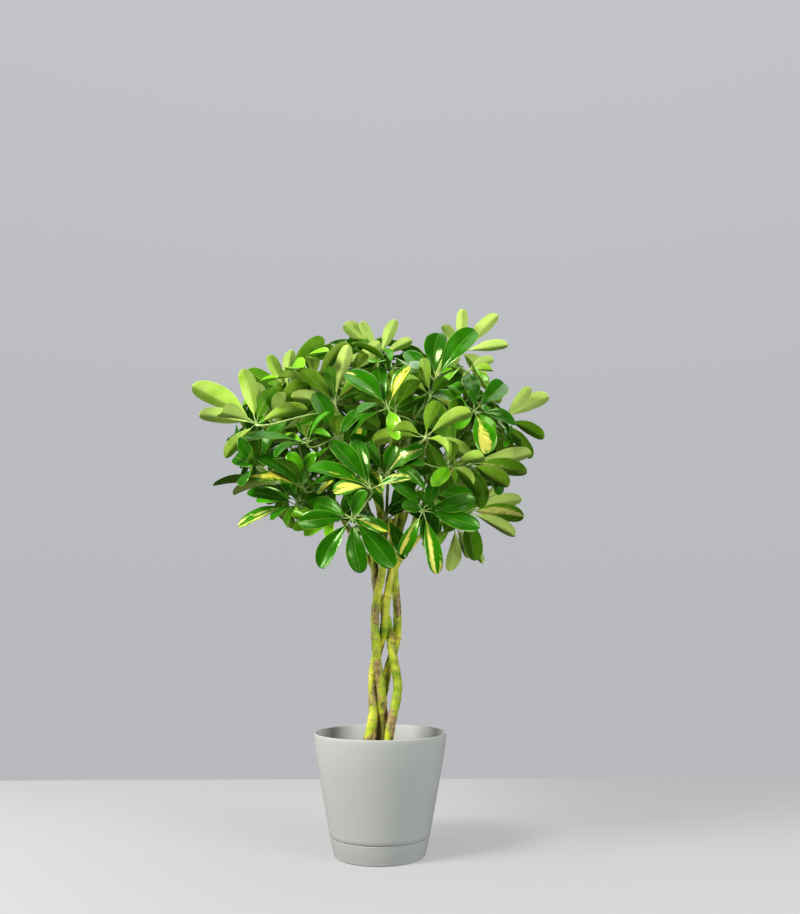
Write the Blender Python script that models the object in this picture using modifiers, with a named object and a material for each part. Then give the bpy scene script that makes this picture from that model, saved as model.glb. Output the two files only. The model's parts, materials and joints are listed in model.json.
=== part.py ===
"""A potted variegated schefflera, grown as a braided standard in a matte plastic pot.

Units are metres, +Z is up, and the origin is the centre of the saucer's flat underside.
The viewer of the reference photograph stands on the -Y side. The leaves that the
photograph shows are listed by hand; a seeded rule grows the rest of the crown.
"""

import math
import random

import bpy
import bmesh
from mathutils import Vector
from mathutils.bvhtree import BVHTree

# The gap kept between pieces that touch on the real plant.
GAP = 0.0003

# Pot and saucer.
POT_HEIGHT = 0.176
RIM_RADIUS = 0.102
SEAM_HEIGHT = 0.028
SEAM_RADIUS = 0.0754
WALL_TAPER = 0.195
FLARE_HEIGHT = 0.125
FLARE_RINGS = (0.162, 0.147)
POT_WALL = 0.0024
FOOT_RADIUS = 0.0700
FOOT_HEIGHT = 0.0062
FOOT_TAPER = 0.004
FOOT_CHAMFER = 0.0015
RIM_ROUNDING = 0.0012
SEAM_CHAMFER = 0.0013
SAUCER_WALL = 0.0026
SAUCER_FLOOR = 0.0028
SAUCER_BASE_RADIUS = 0.0665
SAUCER_CORNER = 0.0022
SAUCER_BELLY = 0.0028
SAUCER_BELLY_HEIGHT = 0.014
SAUCER_WALL_FOOT = 0.010
SAUCER_FILLET = 0.002
SAUCER_LIP_CHAMFER = 0.0005
SAUCER_RIB_RADIUS = 0.0515
SAUCER_RIB_WIDTH = 0.0020
SAUCER_RIB_DRAFT = 0.0005
DRAIN_HOLES = 5
DRAIN_RADIUS = 0.0045
DRAIN_CIRCLE = 0.038
ROUND_STEPS = 36
DRAIN_SIDES = 8

# Soil.
SOIL_TOP = 0.150
SOIL_RIPPLE = 0.0016
SOIL_STEPS = 20
SOIL_RINGS = 4
SOIL_EDGE_GAP = 0.0012
SOIL_EDGE_FADE = 0.012
SOIL_FOOT_STEP = 0.0045
STEM_DEPTH = 0.050

# Trunk: four stems, thinner towards the top.
STEM_RADIUS_LOW = 0.0074
STEM_RADIUS_HIGH = 0.0058
STEM_POINTS_PER_SPAN = 1

# Branches and shoots.
SHOOT_COUNT = 18
BRANCH_RADIUS = 0.0036
SHOOT_RADIUS = 0.0026
SHOOT_TIP_RADIUS = 0.0015
SHOOT_SPANS = 6
WOODY_SPANS = 2
TURN_STEP = math.radians(7)
TURN_TRIES = 24
CROWN_CENTRE = Vector((0.0, 0.0, 0.565))
SHOOT_REACH = Vector((0.165, 0.155, 0.180))
GOLDEN_ANGLE = math.radians(137.5)

# Leaves. A leaf is a whorl of leaflets round the end of a leaf stalk.
STALK_RADIUS = 0.0014
STALK_SPANS = 3
STALK_SIDES = 4
STALK_SINK = 0.004
STALK_LENGTH = 0.062
STALK_TRIES = 60
STALK_START_DEPTH = 0.0058
STALK_START_OUT = 0.0017
HUB_RADIUS = 0.0026
HUB_TOP = 0.0012
HUB_DEPTH = 0.0026
LEAFLET_LENGTH = 0.094
LEAFLET_SLENDERNESS = 0.335
LEAFLET_SHARES = (0.78, 1.0)
LEAFLET_COUNTS = (7, 8)
RULED_CUPS = (-12, 30)
FAR_SIDE_CUPS = (0, 25)
RIB_THICKNESS = 0.0014
LEAF_SEED = 149
SIBLING_SPACING = math.radians(11)
MOST_LEAVES_ON_A_SHOOT = 5
RULED_LEAVES = 44
HUB_TRIES = 30
HUB_SPACING = 0.052
HUB_REACH = (0.055, 0.095)
NEAREST_RULED_HUB = -0.075
BLADE_CLEARANCE = 0.0007

# How a leaflet is eased until it is clear: changes of a listed one's lean and width, and of
# a seeded one's cup angle in degrees, with the length that each further change takes off.
EASED_LEANS = (0.0, 0.15, -0.15, 0.3, -0.3, 0.5, -0.5)
EASED_WIDTHS = (1.0, 0.82, 0.68)
EASED_CUPS = (0, 10, -10, 20, -20, 32, -32)
FAR_SIDE_CUP_STEP = -9
FAR_SIDE_LEAST = 0.35
FAR_SIDE_SPACING = math.radians(32)
FAR_SIDE_PLACES = 8
SHORTENING = 0.04

# A blade's sections between hub and tip: shares of its length, and of its full width there.
BLADE_STATIONS = ((0.40, 0.72), (0.78, 1.0))

# The view point of the photograph, so that a leaf can be placed by its pixel there.
VIEW_DISTANCE = 1.35
VIEW_HEIGHT = 0.335
VIEW_PITCH = math.radians(11.43)
VIEW_YAW = math.radians(1.285)
FOCAL_PIXELS = 838.0
FRAME_CENTRE = (400.0, 457.0)

# What the seeded leaves may cover in the photograph's frame, as an ellipse in pixels.
INNER_CROWN_CENTRE = (374.0, 446.0)
INNER_CROWN_REACH = (140.0, 104.0)

# Each stem's centre line, as pixels of the photograph and metres towards the viewer.
STEM_ROUTES = {
    "stem_a": [
        (384, 736, -0.002), (383.2, 716, 0.001), (382.2, 700, 0.009), (380.2, 682, 0.012),
        (377.4, 664, 0.014), (375.6, 640, 0.017), (375.0, 618, 0.017), (377.0, 597, 0.015),
        (381.0, 578, 0.015), (383.6, 560, 0.018), (383.0, 536, 0.026), (380.0, 512, 0.040),
    ],
    "stem_b": [
        (368.6, 737, 0.010), (372.0, 722, 0.008), (373.2, 703, 0.004), (372.6, 686, 0.001),
        (374.0, 666, -0.003), (379.0, 648, -0.002), (383.8, 630, 0.010), (385.4, 610, 0.013),
        (388.6, 588, 0.013), (392.0, 568, 0.012), (396.0, 542, 0.018), (402.0, 516, 0.028),
    ],
    "stem_c": [
        (389.0, 737, 0.012), (392.6, 716, 0.012), (396.4, 700, 0.010), (397.6, 684, 0.010),
        (395.0, 667, 0.011), (392.0, 650, 0.010), (388.8, 627, -0.005), (382.0, 606, -0.008),
        (376.6, 588, -0.006), (374.6, 568, -0.002), (370.0, 542, 0.000), (361.0, 516, 0.004),
    ],
    "stem_d": [
        (375.5, 737, -0.013), (378.0, 716, -0.015), (383.0, 694, -0.013), (387.4, 672, -0.010),
        (392.6, 655, -0.011), (396.8, 637, -0.010), (397.4, 615, -0.005), (396.0, 594, -0.004),
        (394.2, 572, -0.008), (393.0, 546, -0.016), (391.0, 520, -0.032),
    ],
}


# The leaves that the photograph shows: the hub's pixel, how far it stands towards the viewer
# in metres, the way the whorl faces, and its leaflets. A leaflet is the pixel of its tip, how
# much of its spare length leans towards the viewer (1) or away (-1), and its width in metres
# where that isn't the usual one.
LEAVES_SEEN = {
    "low_middle": ((352, 518), 0.160, (-5, 12), [
        (298, 522, 0.0), (315, 502, -0.5), (320, 568, 0.0), (361, 573, 0.2),
        (394, 567, 0.3), (388, 531, 0.5, 0.018), (367, 492, 0.45, 0.022)]),
    "middle": ((371, 489), 0.165, (0, 38), [
        (331, 441, -0.3), (354, 439, -0.5, 0.024), (308, 469, 0.0), (334, 493, 0.6),
        (411, 479, 0.3)]),
    "middle_right": ((385, 476), 0.140, (12, 40), [
        (425, 448, 0.0, 0.034), (424, 466, 0.3, 0.026), (396, 446, 0.3)]),
    "low_right": ((423, 511), 0.140, (10, 18), [
        (402, 506, 0.35), (436, 479, 0.2), (475, 499, 0.0), (480, 527, 0.2),
        (437, 574, 0.2, 0.024), (401, 555, 0.0, 0.020)]),
    "below_right": ((455, 524), -0.060, (150, 5), [
        (468, 558, 0.0), (449, 571, 0.0), (423, 546, 0.2), (483, 563, 0.0)]),
    "right_low": ((466, 511), 0.010, (150, 30), [
        (524, 517, 0.2), (515, 536, 0.4), (522, 499, -0.2), (500, 489, -0.4)]),
    "right_far": ((470, 463), 0.090, (143, 31), [
        (531, 453, 0.1), (527, 473, 0.1), (508, 487, 0.2, 0.036)]),
    "right_middle": ((449, 466), 0.130, (137, 42), [
        (484, 456, 0.6), (451, 440, 0.6, 0.018), (474, 483, 0.4), (432, 486, 0.4)]),
    "right_band": ((474, 411), 0.130, (12, 15), [
        (486, 454, 0.3, 0.036), (467, 392, 0.5), (495, 432, 0.0), (455, 428, 0.4)]),
    "right_upper": ((503, 420), 0.010, (140, 42), [
        (530, 387, 0.3), (549, 396, 0.1), (479, 409, 0.6), (544, 438, 0.0)]),
    "dark_upright": ((435, 381), 0.090, (0, 22), [
        (439, 333, -0.2, 0.036), (464, 393, 0.3), (475, 330, 0.0), (409, 369, 0.2)]),
    "top_right": ((461, 352), 0.050, (170, 45), [
        (463, 309, 0.4), (498, 315, 0.2), (508, 345, 0.3, 0.022), (443, 325, 0.3),
        (437, 376, 0.6)]),
    "top_right_low": ((467, 371), 0.110, (170, 50), [
        (484, 380, 0.8), (492, 370, 0.4), (449, 380, 0.8), (494, 360, -0.2)]),
    "fold_upright": ((430, 395), 0.140, (180, 45), [
        (424, 358, 0.3), (404, 378, 0.2), (446, 378, 0.5)]),
    "top_middle": ((380, 357), 0.030, (180, 45), [
        (344, 324, 0.3, 0.032), (361, 322, -0.1), (396, 320, 0.3), (412, 340, 0.2),
        (385, 372, 0.7)]),
    "upper_middle": ((350, 376), 0.060, (180, 45), [
        (380, 342, 0.2), (366, 353, 0.5)]),
    "upper_left_middle": ((335, 402), 0.110, (-170, 42), [
        (349, 345, 0.2), (328, 366, -0.4), (301, 370, 0.2), (365, 372, 0.3)]),
    "upper_left_high": ((287, 394), 0.030, (-160, 45), [
        (269, 355, 0.3), (292, 350, 0.3), (323, 337, 0.0), (247, 371, 0.0)]),
    "upper_left": ((277, 432), 0.080, (-150, 45), [
        (255, 383, 0.6), (306, 379, 0.4), (282, 392, 0.7), (240, 440, 0.0)]),
    "left_pale": ((256, 424), 0.120, (-165, 35), [
        (192, 386, 0.0), (199, 415, 0.1), (221, 412, 0.6), (243, 369, 0.3)]),
    "left_dark": ((307, 443), 0.140, (-20, 55), [
        (243, 439, 0.1), (275, 457, 0.4), (310, 424, 0.6), (329, 412, 0.2)]),
    "left_far": ((283, 484), 0.060, (-120, 73), [
        (213, 485, 0.1), (234, 495, -0.2), (242, 466, -0.3)]),
    "left_middle": ((305, 489), 0.135, (-30, 50), [
        (250, 477, 0.2), (258, 457, 0.1), (275, 459, 0.3), (289, 452, 0.2), (337, 478, 0.0)]),
    "left_low": ((298, 506), 0.115, (-35, 42), [
        (247, 492, 0.1), (238, 526, 0.2), (272, 520, 0.5)]),
    "heart_left": ((337, 441), 0.130, (0, 48), [
        (338, 415, 0.5, 0.020), (315, 393, -0.2), (308, 432, 0.3), (360, 410, -0.2)]),
    "heart": ((388, 408), 0.150, (-18, 42), [
        (346, 373, 0.1, 0.036), (410, 366, -0.2), (358, 413, 0.5), (398, 440, 0.4)]),
    "heart_right": ((425, 437), 0.160, (178, 50), [
        (391, 432, 0.5), (471, 412, 0.2), (437, 401, 0.3), (449, 452, 0.4)]),
    "behind_low": ((386, 516), 0.095, (0, 40), [
        (405, 559, 0.1), (374, 552, 0.0), (405, 507, 0.3)]),
}


def aim(turn, rise):
    """Unit vector from a turn to the viewer's right and a rise, in degrees; (0, 0) faces the viewer."""
    t, e = math.radians(turn), math.radians(rise)
    return Vector((math.sin(t) * math.cos(e), -math.cos(t) * math.cos(e), math.sin(e)))


def photo_point(px, py, forward):
    """The point on a photograph pixel's line of sight that stands `forward` towards the viewer."""
    ahead = aim(180 - math.degrees(VIEW_YAW), math.degrees(VIEW_PITCH))
    right = Vector((math.cos(VIEW_YAW), -math.sin(VIEW_YAW), 0.0))
    up = right.cross(ahead)
    across = (px - FRAME_CENTRE[0]) / FOCAL_PIXELS
    above = (FRAME_CENTRE[1] - py) / FOCAL_PIXELS
    ray = ahead + across * right + above * up
    return Vector((0.0, -VIEW_DISTANCE, VIEW_HEIGHT)) + ray * ((VIEW_DISTANCE - forward) / ray.y)


def photo_pixel(point):
    """The photograph pixel at which a point is seen."""
    ahead = aim(180 - math.degrees(VIEW_YAW), math.degrees(VIEW_PITCH))
    right = Vector((math.cos(VIEW_YAW), -math.sin(VIEW_YAW), 0.0))
    offset = point - Vector((0.0, -VIEW_DISTANCE, VIEW_HEIGHT))
    scale = FOCAL_PIXELS / offset.dot(ahead)
    across = offset.dot(right) * scale
    above = offset.dot(right.cross(ahead)) * scale
    return FRAME_CENTRE[0] + across, FRAME_CENTRE[1] - above


def bezier(a, b, c, d, steps):
    """Points along a cubic curve from a to d."""
    points = []
    for i in range(steps + 1):
        t = i / steps
        s = 1 - t
        points.append(a * s ** 3 + b * (3 * s * s * t) + c * (3 * s * t * t) + d * t ** 3)
    return points


def smooth_route(knots, steps):
    """Points of a smooth curve through the knots, `steps` of them to a span."""
    padded = [2 * knots[0] - knots[1]] + list(knots) + [2 * knots[-1] - knots[-2]]
    points = []
    for i in range(1, len(padded) - 2):
        before, start, end, after = padded[i - 1:i + 3]
        lead_in, lead_out = (end - before) / 6, (after - start) / 6
        points += bezier(start, start + lead_in, end - lead_out, end, steps)[:-1]
    return points + [knots[-1]]


def tube_faces(points, radii, sides):
    """Corners and triangles of a plain tube, which stands for a stalk when clearances are tested."""
    corners, faces = [], []
    for i, point in enumerate(points):
        along = (points[min(i + 1, len(points) - 1)] - points[max(i - 1, 0)]).normalized()
        side = along.orthogonal().normalized()
        across = along.cross(side)
        for k in range(sides):
            angle = math.tau * k / sides
            corners.append(point + (side * math.cos(angle) + across * math.sin(angle)) * radii[i])
    for i in range(len(points) - 1):
        for k in range(sides):
            a, b = i * sides + k, i * sides + (k + 1) % sides
            faces += [(a, b, b + sides), (a, b + sides, a + sides)]
    return corners, faces


class Space:
    """What is already placed, for keeping each new leaf clear of it."""

    def __init__(self):
        self.items = []

    def add(self, names, corners, faces):
        low = Vector(map(min, *corners))
        high = Vector(map(max, *corners))
        self.items.append((names, low, high, BVHTree.FromPolygons(corners, faces)))

    def is_clear(self, corners, faces, skip=None):
        low = Vector(map(min, *corners))
        high = Vector(map(max, *corners))
        tree = None
        for names, other_low, other_high, other in self.items:
            if skip in names:
                continue
            if any(low[k] > other_high[k] or high[k] < other_low[k] for k in range(3)):
                continue
            tree = tree or BVHTree.FromPolygons(corners, faces)
            if tree.overlap(other):
                return False
        return True


class Leaflet:
    """One blade: from the hub to its tip, arched along its length and folded along its midrib."""

    def __init__(self, hub, tip, facing, width, arch, fold):
        self.hub, self.tip = hub, tip
        chord = tip - hub
        self.length = chord.length
        self.along = chord / self.length
        upper = facing - self.along * facing.dot(self.along)
        self.upper = upper.normalized() if upper.length > 1e-4 else self.along.orthogonal().normalized()
        self.side = self.upper.cross(self.along)
        self.width, self.arch, self.fold = width, arch, fold

    def frame(self, s):
        """The midrib's point and the upper direction there, at a share s of the length."""
        point = self.hub + self.along * (self.length * s)
        point += self.upper * (self.arch * self.length * 4 * s * (1 - s))
        slope = 4 * self.arch * (1 - 2 * s)
        return point, (self.upper - self.along * slope).normalized()

    def section(self, s, share, thickness):
        """Left edge, top of rib, right edge and bottom of rib, of a section `share` of the full width."""
        point, upper = self.frame(s)
        half = self.width / 2 * share
        lift = upper * (half * self.fold)
        left = point + self.side * half + lift
        right = point - self.side * half + lift
        return [left, point + upper * (thickness / 2), right, point - upper * (thickness / 2)]

    def sections(self, swell=0.0):
        """The blade's sections, without its root and its tip."""
        grown = 2 * swell / self.width
        thickness = RIB_THICKNESS + 2 * swell
        return [self.section(s, share + grown, thickness) for s, share in BLADE_STATIONS]

    def root(self, swell=0.0):
        """The section that the blade has in the middle of its hub."""
        across = self.side * (HUB_RADIUS + swell)
        top = self.hub + self.upper * (HUB_TOP + swell)
        return [self.hub + across, top, self.hub - across, self.hub - self.upper * (HUB_DEPTH + swell)]

    def blade_faces(self, swell=0.0):
        """Corners and triangles of the whole blade, which stand for it when clearances are tested."""
        rings = [self.root(swell)] + self.sections(swell)
        corners, faces = band_faces(rings)
        corners.append(self.tip + self.along * swell)
        last = 4 * (len(rings) - 1)
        faces += [(last + k, last + (k + 1) % 4, len(corners) - 1) for k in range(4)]
        faces += [(0, 1, 2), (0, 2, 3)]
        return corners, faces


def blade_band(near, far):
    """Triangles between two four-cornered sections, split alike on the upper and lower faces."""
    left, top, right, bottom = near
    far_left, far_top, far_right, far_bottom = far
    return [
        (left, far_top, far_left), (left, top, far_top),
        (top, right, far_top), (right, far_right, far_top),
        (right, bottom, far_bottom), (right, far_bottom, far_right),
        (bottom, left, far_bottom), (left, far_left, far_bottom),
    ]


class Leaf:
    """A whorl: its hub, the way it faces, its stalk's points and its leaflets."""

    def __init__(self, name, hub, facing):
        self.name, self.hub, self.facing = name, hub, facing
        self.stalk = []
        self.leaflets = []

    def bearing(self, direction):
        """A direction's angle round the hub, anticlockwise as the whorl's face is seen."""
        first = self.facing.orthogonal().normalized()
        second = self.facing.cross(first)
        return math.atan2(direction.dot(second), direction.dot(first))


class Shoot:
    """A twig: the woody share of its curve belongs to the stem, the rest carries the leaves."""

    def __init__(self, name, stem, woody, green):
        self.name, self.stem, self.woody, self.green = name, stem, woody, green
        self.leaves = []

    def radii(self):
        last = len(self.green) - 1
        return [SHOOT_RADIUS + (SHOOT_TIP_RADIUS - SHOOT_RADIUS) * i / last for i in range(last + 1)]


def stem_points(route):
    """A stem's smooth centre line, with a straight foot standing in the soil."""
    knots = [photo_point(px, py, forward) for px, py, forward in route]
    foot = Vector((knots[0].x, knots[0].y, SOIL_TOP + 0.004))
    points = smooth_route([foot] + knots, STEM_POINTS_PER_SPAN)
    return [foot - Vector((0, 0, STEM_DEPTH))] + points


def stem_radii(points):
    low, high = points[0].z, points[-1].z
    change = STEM_RADIUS_HIGH - STEM_RADIUS_LOW
    return [STEM_RADIUS_LOW + change * (p.z - low) / (high - low) for p in points]


def shoot_curve(start, turn, level):
    """A twig's curve from its stem's top; level runs from 0 for the lowest twig to 1 for the highest."""
    rise = math.asin(0.12 + 0.86 * level)
    outward = Vector((math.cos(turn) * math.cos(rise), math.sin(turn) * math.cos(rise), math.sin(rise)))
    tip = CROWN_CENTRE + Vector(a * b for a, b in zip(outward, SHOOT_REACH))
    reach = (tip - start).length
    leave = (outward + Vector((0, 0, 0.8))).normalized()
    arrive = (outward + Vector((0, 0, 0.5))).normalized()
    return bezier(start, start + leave * reach * 0.35, tip - arrive * reach * 0.3, tip, SHOOT_SPANS)


def plan_shoots(stems, space):
    """The twigs, each from the stem whose top lies nearest its way out, turned until it is clear."""
    tops = {name: points[-1] for name, points in stems.items()}
    loads = dict.fromkeys(tops, 0)
    most = math.ceil(SHOOT_COUNT / len(tops))
    middle = sum(tops.values(), Vector()) / len(tops)
    shoots = []
    for i in range(SHOOT_COUNT):
        level = (i + 0.5) / SHOOT_COUNT
        turn = i * GOLDEN_ANGLE
        out = Vector((math.cos(turn), math.sin(turn), 0))
        free = [name for name in tops if loads[name] < most]
        stem = max(free, key=lambda name: (tops[name] - middle).normalized().dot(out))
        shoot = clear_shoot(f"shoot_{i + 1:02d}", stem, stems[stem], turn, level, space)
        loads[stem] += 1
        shoots.append(shoot)
    return shoots


def clear_shoot(name, stem, stem_line, turn, level, space):
    """Tries small turns either way until the twig's green part crosses nothing."""
    for step in range(TURN_TRIES):
        offset = TURN_STEP * ((step + 1) // 2) * (1 if step % 2 else -1)
        start = stem_line[-2 - round(1 - level)]
        curve = shoot_curve(start, turn + offset, level)
        gap = (curve[WOODY_SPANS + 1] - curve[WOODY_SPANS]).normalized() * GAP
        green = [curve[WOODY_SPANS] + gap] + curve[WOODY_SPANS + 1:]
        shoot = Shoot(name, stem, curve[:WOODY_SPANS + 1], green)
        green = tube_faces(shoot.green[1:], [SHOOT_RADIUS + 0.001] * (len(shoot.green) - 1), 6)
        woody = tube_faces(shoot.woody, [BRANCH_RADIUS + 0.001] * len(shoot.woody), 6)
        if space.is_clear(*green) and space.is_clear(*woody, skip=stem):
            break
    space.add((name,), *tube_faces(shoot.green, shoot.radii(), 6))
    space.add((stem,), *tube_faces(shoot.woody, [BRANCH_RADIUS] * len(shoot.woody), 6))
    return shoot


def stalk_curve(shoot, index, hub, facing):
    """A leaf stalk from a point of its twig to the underside of the hub."""
    along = (shoot.green[index] - shoot.green[index - 1]).normalized()
    start = shoot.green[index] - along * STALK_SINK
    reach = (hub - start).length
    outward = ((hub - start).normalized() + along * 0.5).normalized()
    arrive = (facing * 0.6 + (hub - start).normalized()).normalized()
    end = hub - facing * STALK_START_DEPTH
    return bezier(start, start + outward * reach * 0.35, end - arrive * reach * 0.3, end, STALK_SPANS)


def join_leaf(leaf, shoots, space, most):
    """Picks the twig and the point on it that give the leaf a short clear stalk."""
    choices = []
    for shoot in shoots:
        if len(shoot.leaves) >= most:
            continue
        for index in range(2, len(shoot.green)):
            way = leaf.hub - shoot.green[index]
            crowd = 0.006 * len(shoot.leaves)
            bend = 0.04 * (1 - way.normalized().dot(leaf.facing))
            choices.append((abs(way.length - STALK_LENGTH) + bend + crowd, shoot.name, index, shoot))
    choices.sort(key=lambda choice: choice[:3])
    for cost, name, index, shoot in choices[:STALK_TRIES]:
        if hang_leaf(leaf, shoot, index, space):
            return True
    return False


def hang_leaf(leaf, shoot, index, space):
    """Gives a leaf its stalk from a point of a twig, if the stalk bends and passes cleanly."""
    leaf.stalk = stalk_curve(shoot, index, leaf.hub, leaf.facing)
    points = leaf.stalk + [leaf.hub + leaf.facing * HUB_TOP]
    radii = [STALK_RADIUS] * STALK_SPANS + [STALK_RADIUS + STALK_START_OUT, HUB_RADIUS]
    swollen = [radius + BLADE_CLEARANCE for radius in radii]
    if not space.is_clear(*tube_faces(points, swollen, STALK_SIDES), skip=shoot.name):
        return False
    if crosses_itself(*band_faces(stalk_rings(leaf, stalk_side(leaf)))):
        return False
    shoot.leaves.append(leaf)
    space.add((shoot.name, leaf.name), *tube_faces(points, radii, STALK_SIDES))
    return True


def spare_lean(distance, length):
    return math.sqrt(max(0.0, length * length - distance * distance))


def seen_leaflet(leaf, spec, lean, forward, rng):
    """A leaflet whose tip is seen at a pixel of the photograph."""
    px, py = spec[:2]
    flat = photo_point(px, py, forward)
    spare = spare_lean((flat - leaf.hub).length, LEAFLET_LENGTH)
    tip = photo_point(px, py, forward + lean * spare)
    length = (tip - leaf.hub).length
    width = spec[3] if len(spec) > 3 else LEAFLET_SLENDERNESS * max(length, 0.6 * LEAFLET_LENGTH)
    return Leaflet(leaf.hub, tip, leaf.facing, width, rng.uniform(0.05, 0.10), rng.uniform(0.22, 0.42))


def ruled_leaflet(leaf, bearing, cup, length, rng):
    """A leaflet at a bearing round the hub, raised from the whorl's plane by the cup angle."""
    first = leaf.facing.orthogonal().normalized()
    second = leaf.facing.cross(first)
    out = first * math.cos(bearing) + second * math.sin(bearing)
    tip = leaf.hub + (out * math.cos(cup) + leaf.facing * math.sin(cup)) * length
    width = LEAFLET_SLENDERNESS * length * rng.uniform(0.92, 1.08)
    return Leaflet(leaf.hub, tip, leaf.facing, width, rng.uniform(0.05, 0.11), rng.uniform(0.2, 0.45))


def is_apart(leaf, leaflet, least=SIBLING_SPACING):
    """Whether a leaflet's bearing keeps clear of those already round the hub."""
    bearing = leaf.bearing(leaflet.along)
    for other in leaf.leaflets:
        turn = (bearing - leaf.bearing(other.along) + math.pi) % math.tau - math.pi
        if abs(turn) < least:
            return False
    return True


def place_leaflet(leaf, variants, space):
    """Adds the first of a leaflet's variants that touches nothing placed before it."""
    for leaflet in variants:
        if not is_apart(leaf, leaflet):
            continue
        if not space.is_clear(*leaflet.blade_faces(BLADE_CLEARANCE), skip=leaf.name):
            continue
        leaf.leaflets.append(leaflet)
        if not crosses_itself(*whorl_faces(leaf)):
            space.add((leaf.name,), *leaflet.blade_faces())
            return
        leaf.leaflets.pop()


def seen_variants(leaf, spec, forward, rng):
    """A listed leaflet, then slimmer ones, each also nearer or farther than the listed lean."""
    for share in EASED_WIDTHS:
        for ease in EASED_LEANS:
            leaflet = seen_leaflet(leaf, spec, spec[2] + ease, forward, rng)
            leaflet.width *= share
            yield leaflet


def far_side_variants(leaf, bearing, rng):
    """A leaflet that points away from the viewer, then ones with a flatter cup."""
    cup = math.radians(rng.uniform(*FAR_SIDE_CUPS))
    length = LEAFLET_LENGTH * rng.uniform(*LEAFLET_SHARES)
    for step in range(len(EASED_CUPS)):
        leaflet = ruled_leaflet(leaf, bearing, cup + math.radians(FAR_SIDE_CUP_STEP * step), length, rng)
        if leaflet.along.y > FAR_SIDE_LEAST and is_apart(leaf, leaflet, FAR_SIDE_SPACING):
            yield leaflet


def within_inner_crown(point):
    """Whether a point is seen inside the part of the crown that the seeded leaves may cover."""
    px, py = photo_pixel(point)
    across = (px - INNER_CROWN_CENTRE[0]) / INNER_CROWN_REACH[0]
    above = (py - INNER_CROWN_CENTRE[1]) / INNER_CROWN_REACH[1]
    return across * across + above * above < 1


def ruled_variants(leaf, bearing, cup, rng):
    """A seeded leaflet, then shorter ones with another cup."""
    length = LEAFLET_LENGTH * rng.uniform(*LEAFLET_SHARES)
    for step, ease in enumerate(EASED_CUPS):
        shorter = length * (1 - SHORTENING * step)
        leaflet = ruled_leaflet(leaf, bearing, cup + math.radians(ease), shorter, rng)
        if within_inner_crown(leaflet.tip):
            yield leaflet


def grow_seen_leaf(leaf, specs, forward, space, rng):
    """Places the leaflets that the photograph shows."""
    for spec in specs:
        place_leaflet(leaf, seen_variants(leaf, spec, forward, rng), space)


def grow_far_side(leaf, space, rng):
    """Fills the part of a listed whorl that the photograph doesn't show."""
    for step in range(FAR_SIDE_PLACES):
        bearing = math.tau * step / FAR_SIDE_PLACES + rng.uniform(-0.1, 0.1)
        place_leaflet(leaf, far_side_variants(leaf, bearing, rng), space)


def grow_ruled_leaf(leaf, space, rng):
    """Seven or eight leaflets evenly round a seeded leaf's hub."""
    count = rng.choice(LEAFLET_COUNTS)
    start = rng.uniform(0, math.tau)
    cup = math.radians(rng.uniform(*RULED_CUPS))
    for step in range(count):
        bearing = start + math.tau * step / count + rng.uniform(-0.09, 0.09)
        place_leaflet(leaf, ruled_variants(leaf, bearing, cup, rng), space)


def ruled_hub(shoot, rng):
    """A seeded place for a leaf on a twig: how far along, and its hub and facing."""
    index = rng.randint(3, len(shoot.green) - 1)
    start = shoot.green[index]
    along = (shoot.green[index] - shoot.green[index - 1]).normalized()
    turn = rng.uniform(0, math.tau)
    first = along.orthogonal().normalized()
    spread = first * math.cos(turn) + along.cross(first) * math.sin(turn)
    outward = (start - CROWN_CENTRE).normalized()
    way = (spread * 0.9 + outward * 0.9 + along * 0.5 + Vector((0, 0, 0.15))).normalized()
    hub = start + way * rng.uniform(*HUB_REACH)
    facing = ((hub - CROWN_CENTRE).normalized() + way * 0.4 + Vector((0, 0, 0.45))).normalized()
    return index, hub, facing


def plan_ruled_leaves(shoots, leaves, space, rng):
    """Seeded leaves on every twig, where there is room, behind those that the photograph shows."""
    wanted = len(leaves) + RULED_LEAVES
    for count in range(MOST_LEAVES_ON_A_SHOOT):
        for shoot in shoots:
            if len(shoot.leaves) > count or len(leaves) >= wanted:
                continue
            for attempt in range(HUB_TRIES):
                index, hub, facing = ruled_hub(shoot, rng)
                if hub.y < NEAREST_RULED_HUB or not within_inner_crown(hub):
                    continue
                if any((hub - other.hub).length < HUB_SPACING for other in leaves):
                    continue
                leaf = Leaf(f"leaf_{len(leaves) + 1}", hub, facing)
                if hang_leaf(leaf, shoot, index, space):
                    leaves.append(leaf)
                    break


def plan_crown(stems):
    """Every twig and leaf of the crown, each clear of the others."""
    rng = random.Random(LEAF_SEED)
    space = Space()
    for name, points in stems.items():
        space.add((name,), *tube_faces(points, stem_radii(points), 8))
    shoots = plan_shoots(stems, space)
    leaves = []
    for name, (pixel, forward, facing, specs) in LEAVES_SEEN.items():
        leaf = Leaf(name, photo_point(*pixel, forward), aim(*facing))
        if join_leaf(leaf, shoots, space, MOST_LEAVES_ON_A_SHOOT):
            leaves.append(leaf)
    plan_ruled_leaves(shoots, leaves, space, rng)
    for leaf in leaves:
        if leaf.name in LEAVES_SEEN:
            pixel, forward, facing, specs = LEAVES_SEEN[leaf.name]
            grow_seen_leaf(leaf, specs, forward, space, rng)
    for leaf in leaves:
        if leaf.name in LEAVES_SEEN:
            grow_far_side(leaf, space, rng)
        else:
            grow_ruled_leaf(leaf, space, rng)
    return shoots


def stalk_sector(bearings, wanted):
    """The middle of a wide gap between leaflets, near the bearing that the stalk comes from."""
    best, best_cost = wanted, math.inf
    for i, bearing in enumerate(bearings):
        gap = (bearings[(i + 1) % len(bearings)] - bearing) % math.tau or math.tau
        middle = bearing + gap / 2
        off = abs((middle - wanted + math.pi) % math.tau - math.pi)
        cost = off + (2.0 if gap < math.radians(34) else 0.0)
        if cost < best_cost:
            best, best_cost = middle, cost
    return (best + math.pi) % math.tau - math.pi


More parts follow.
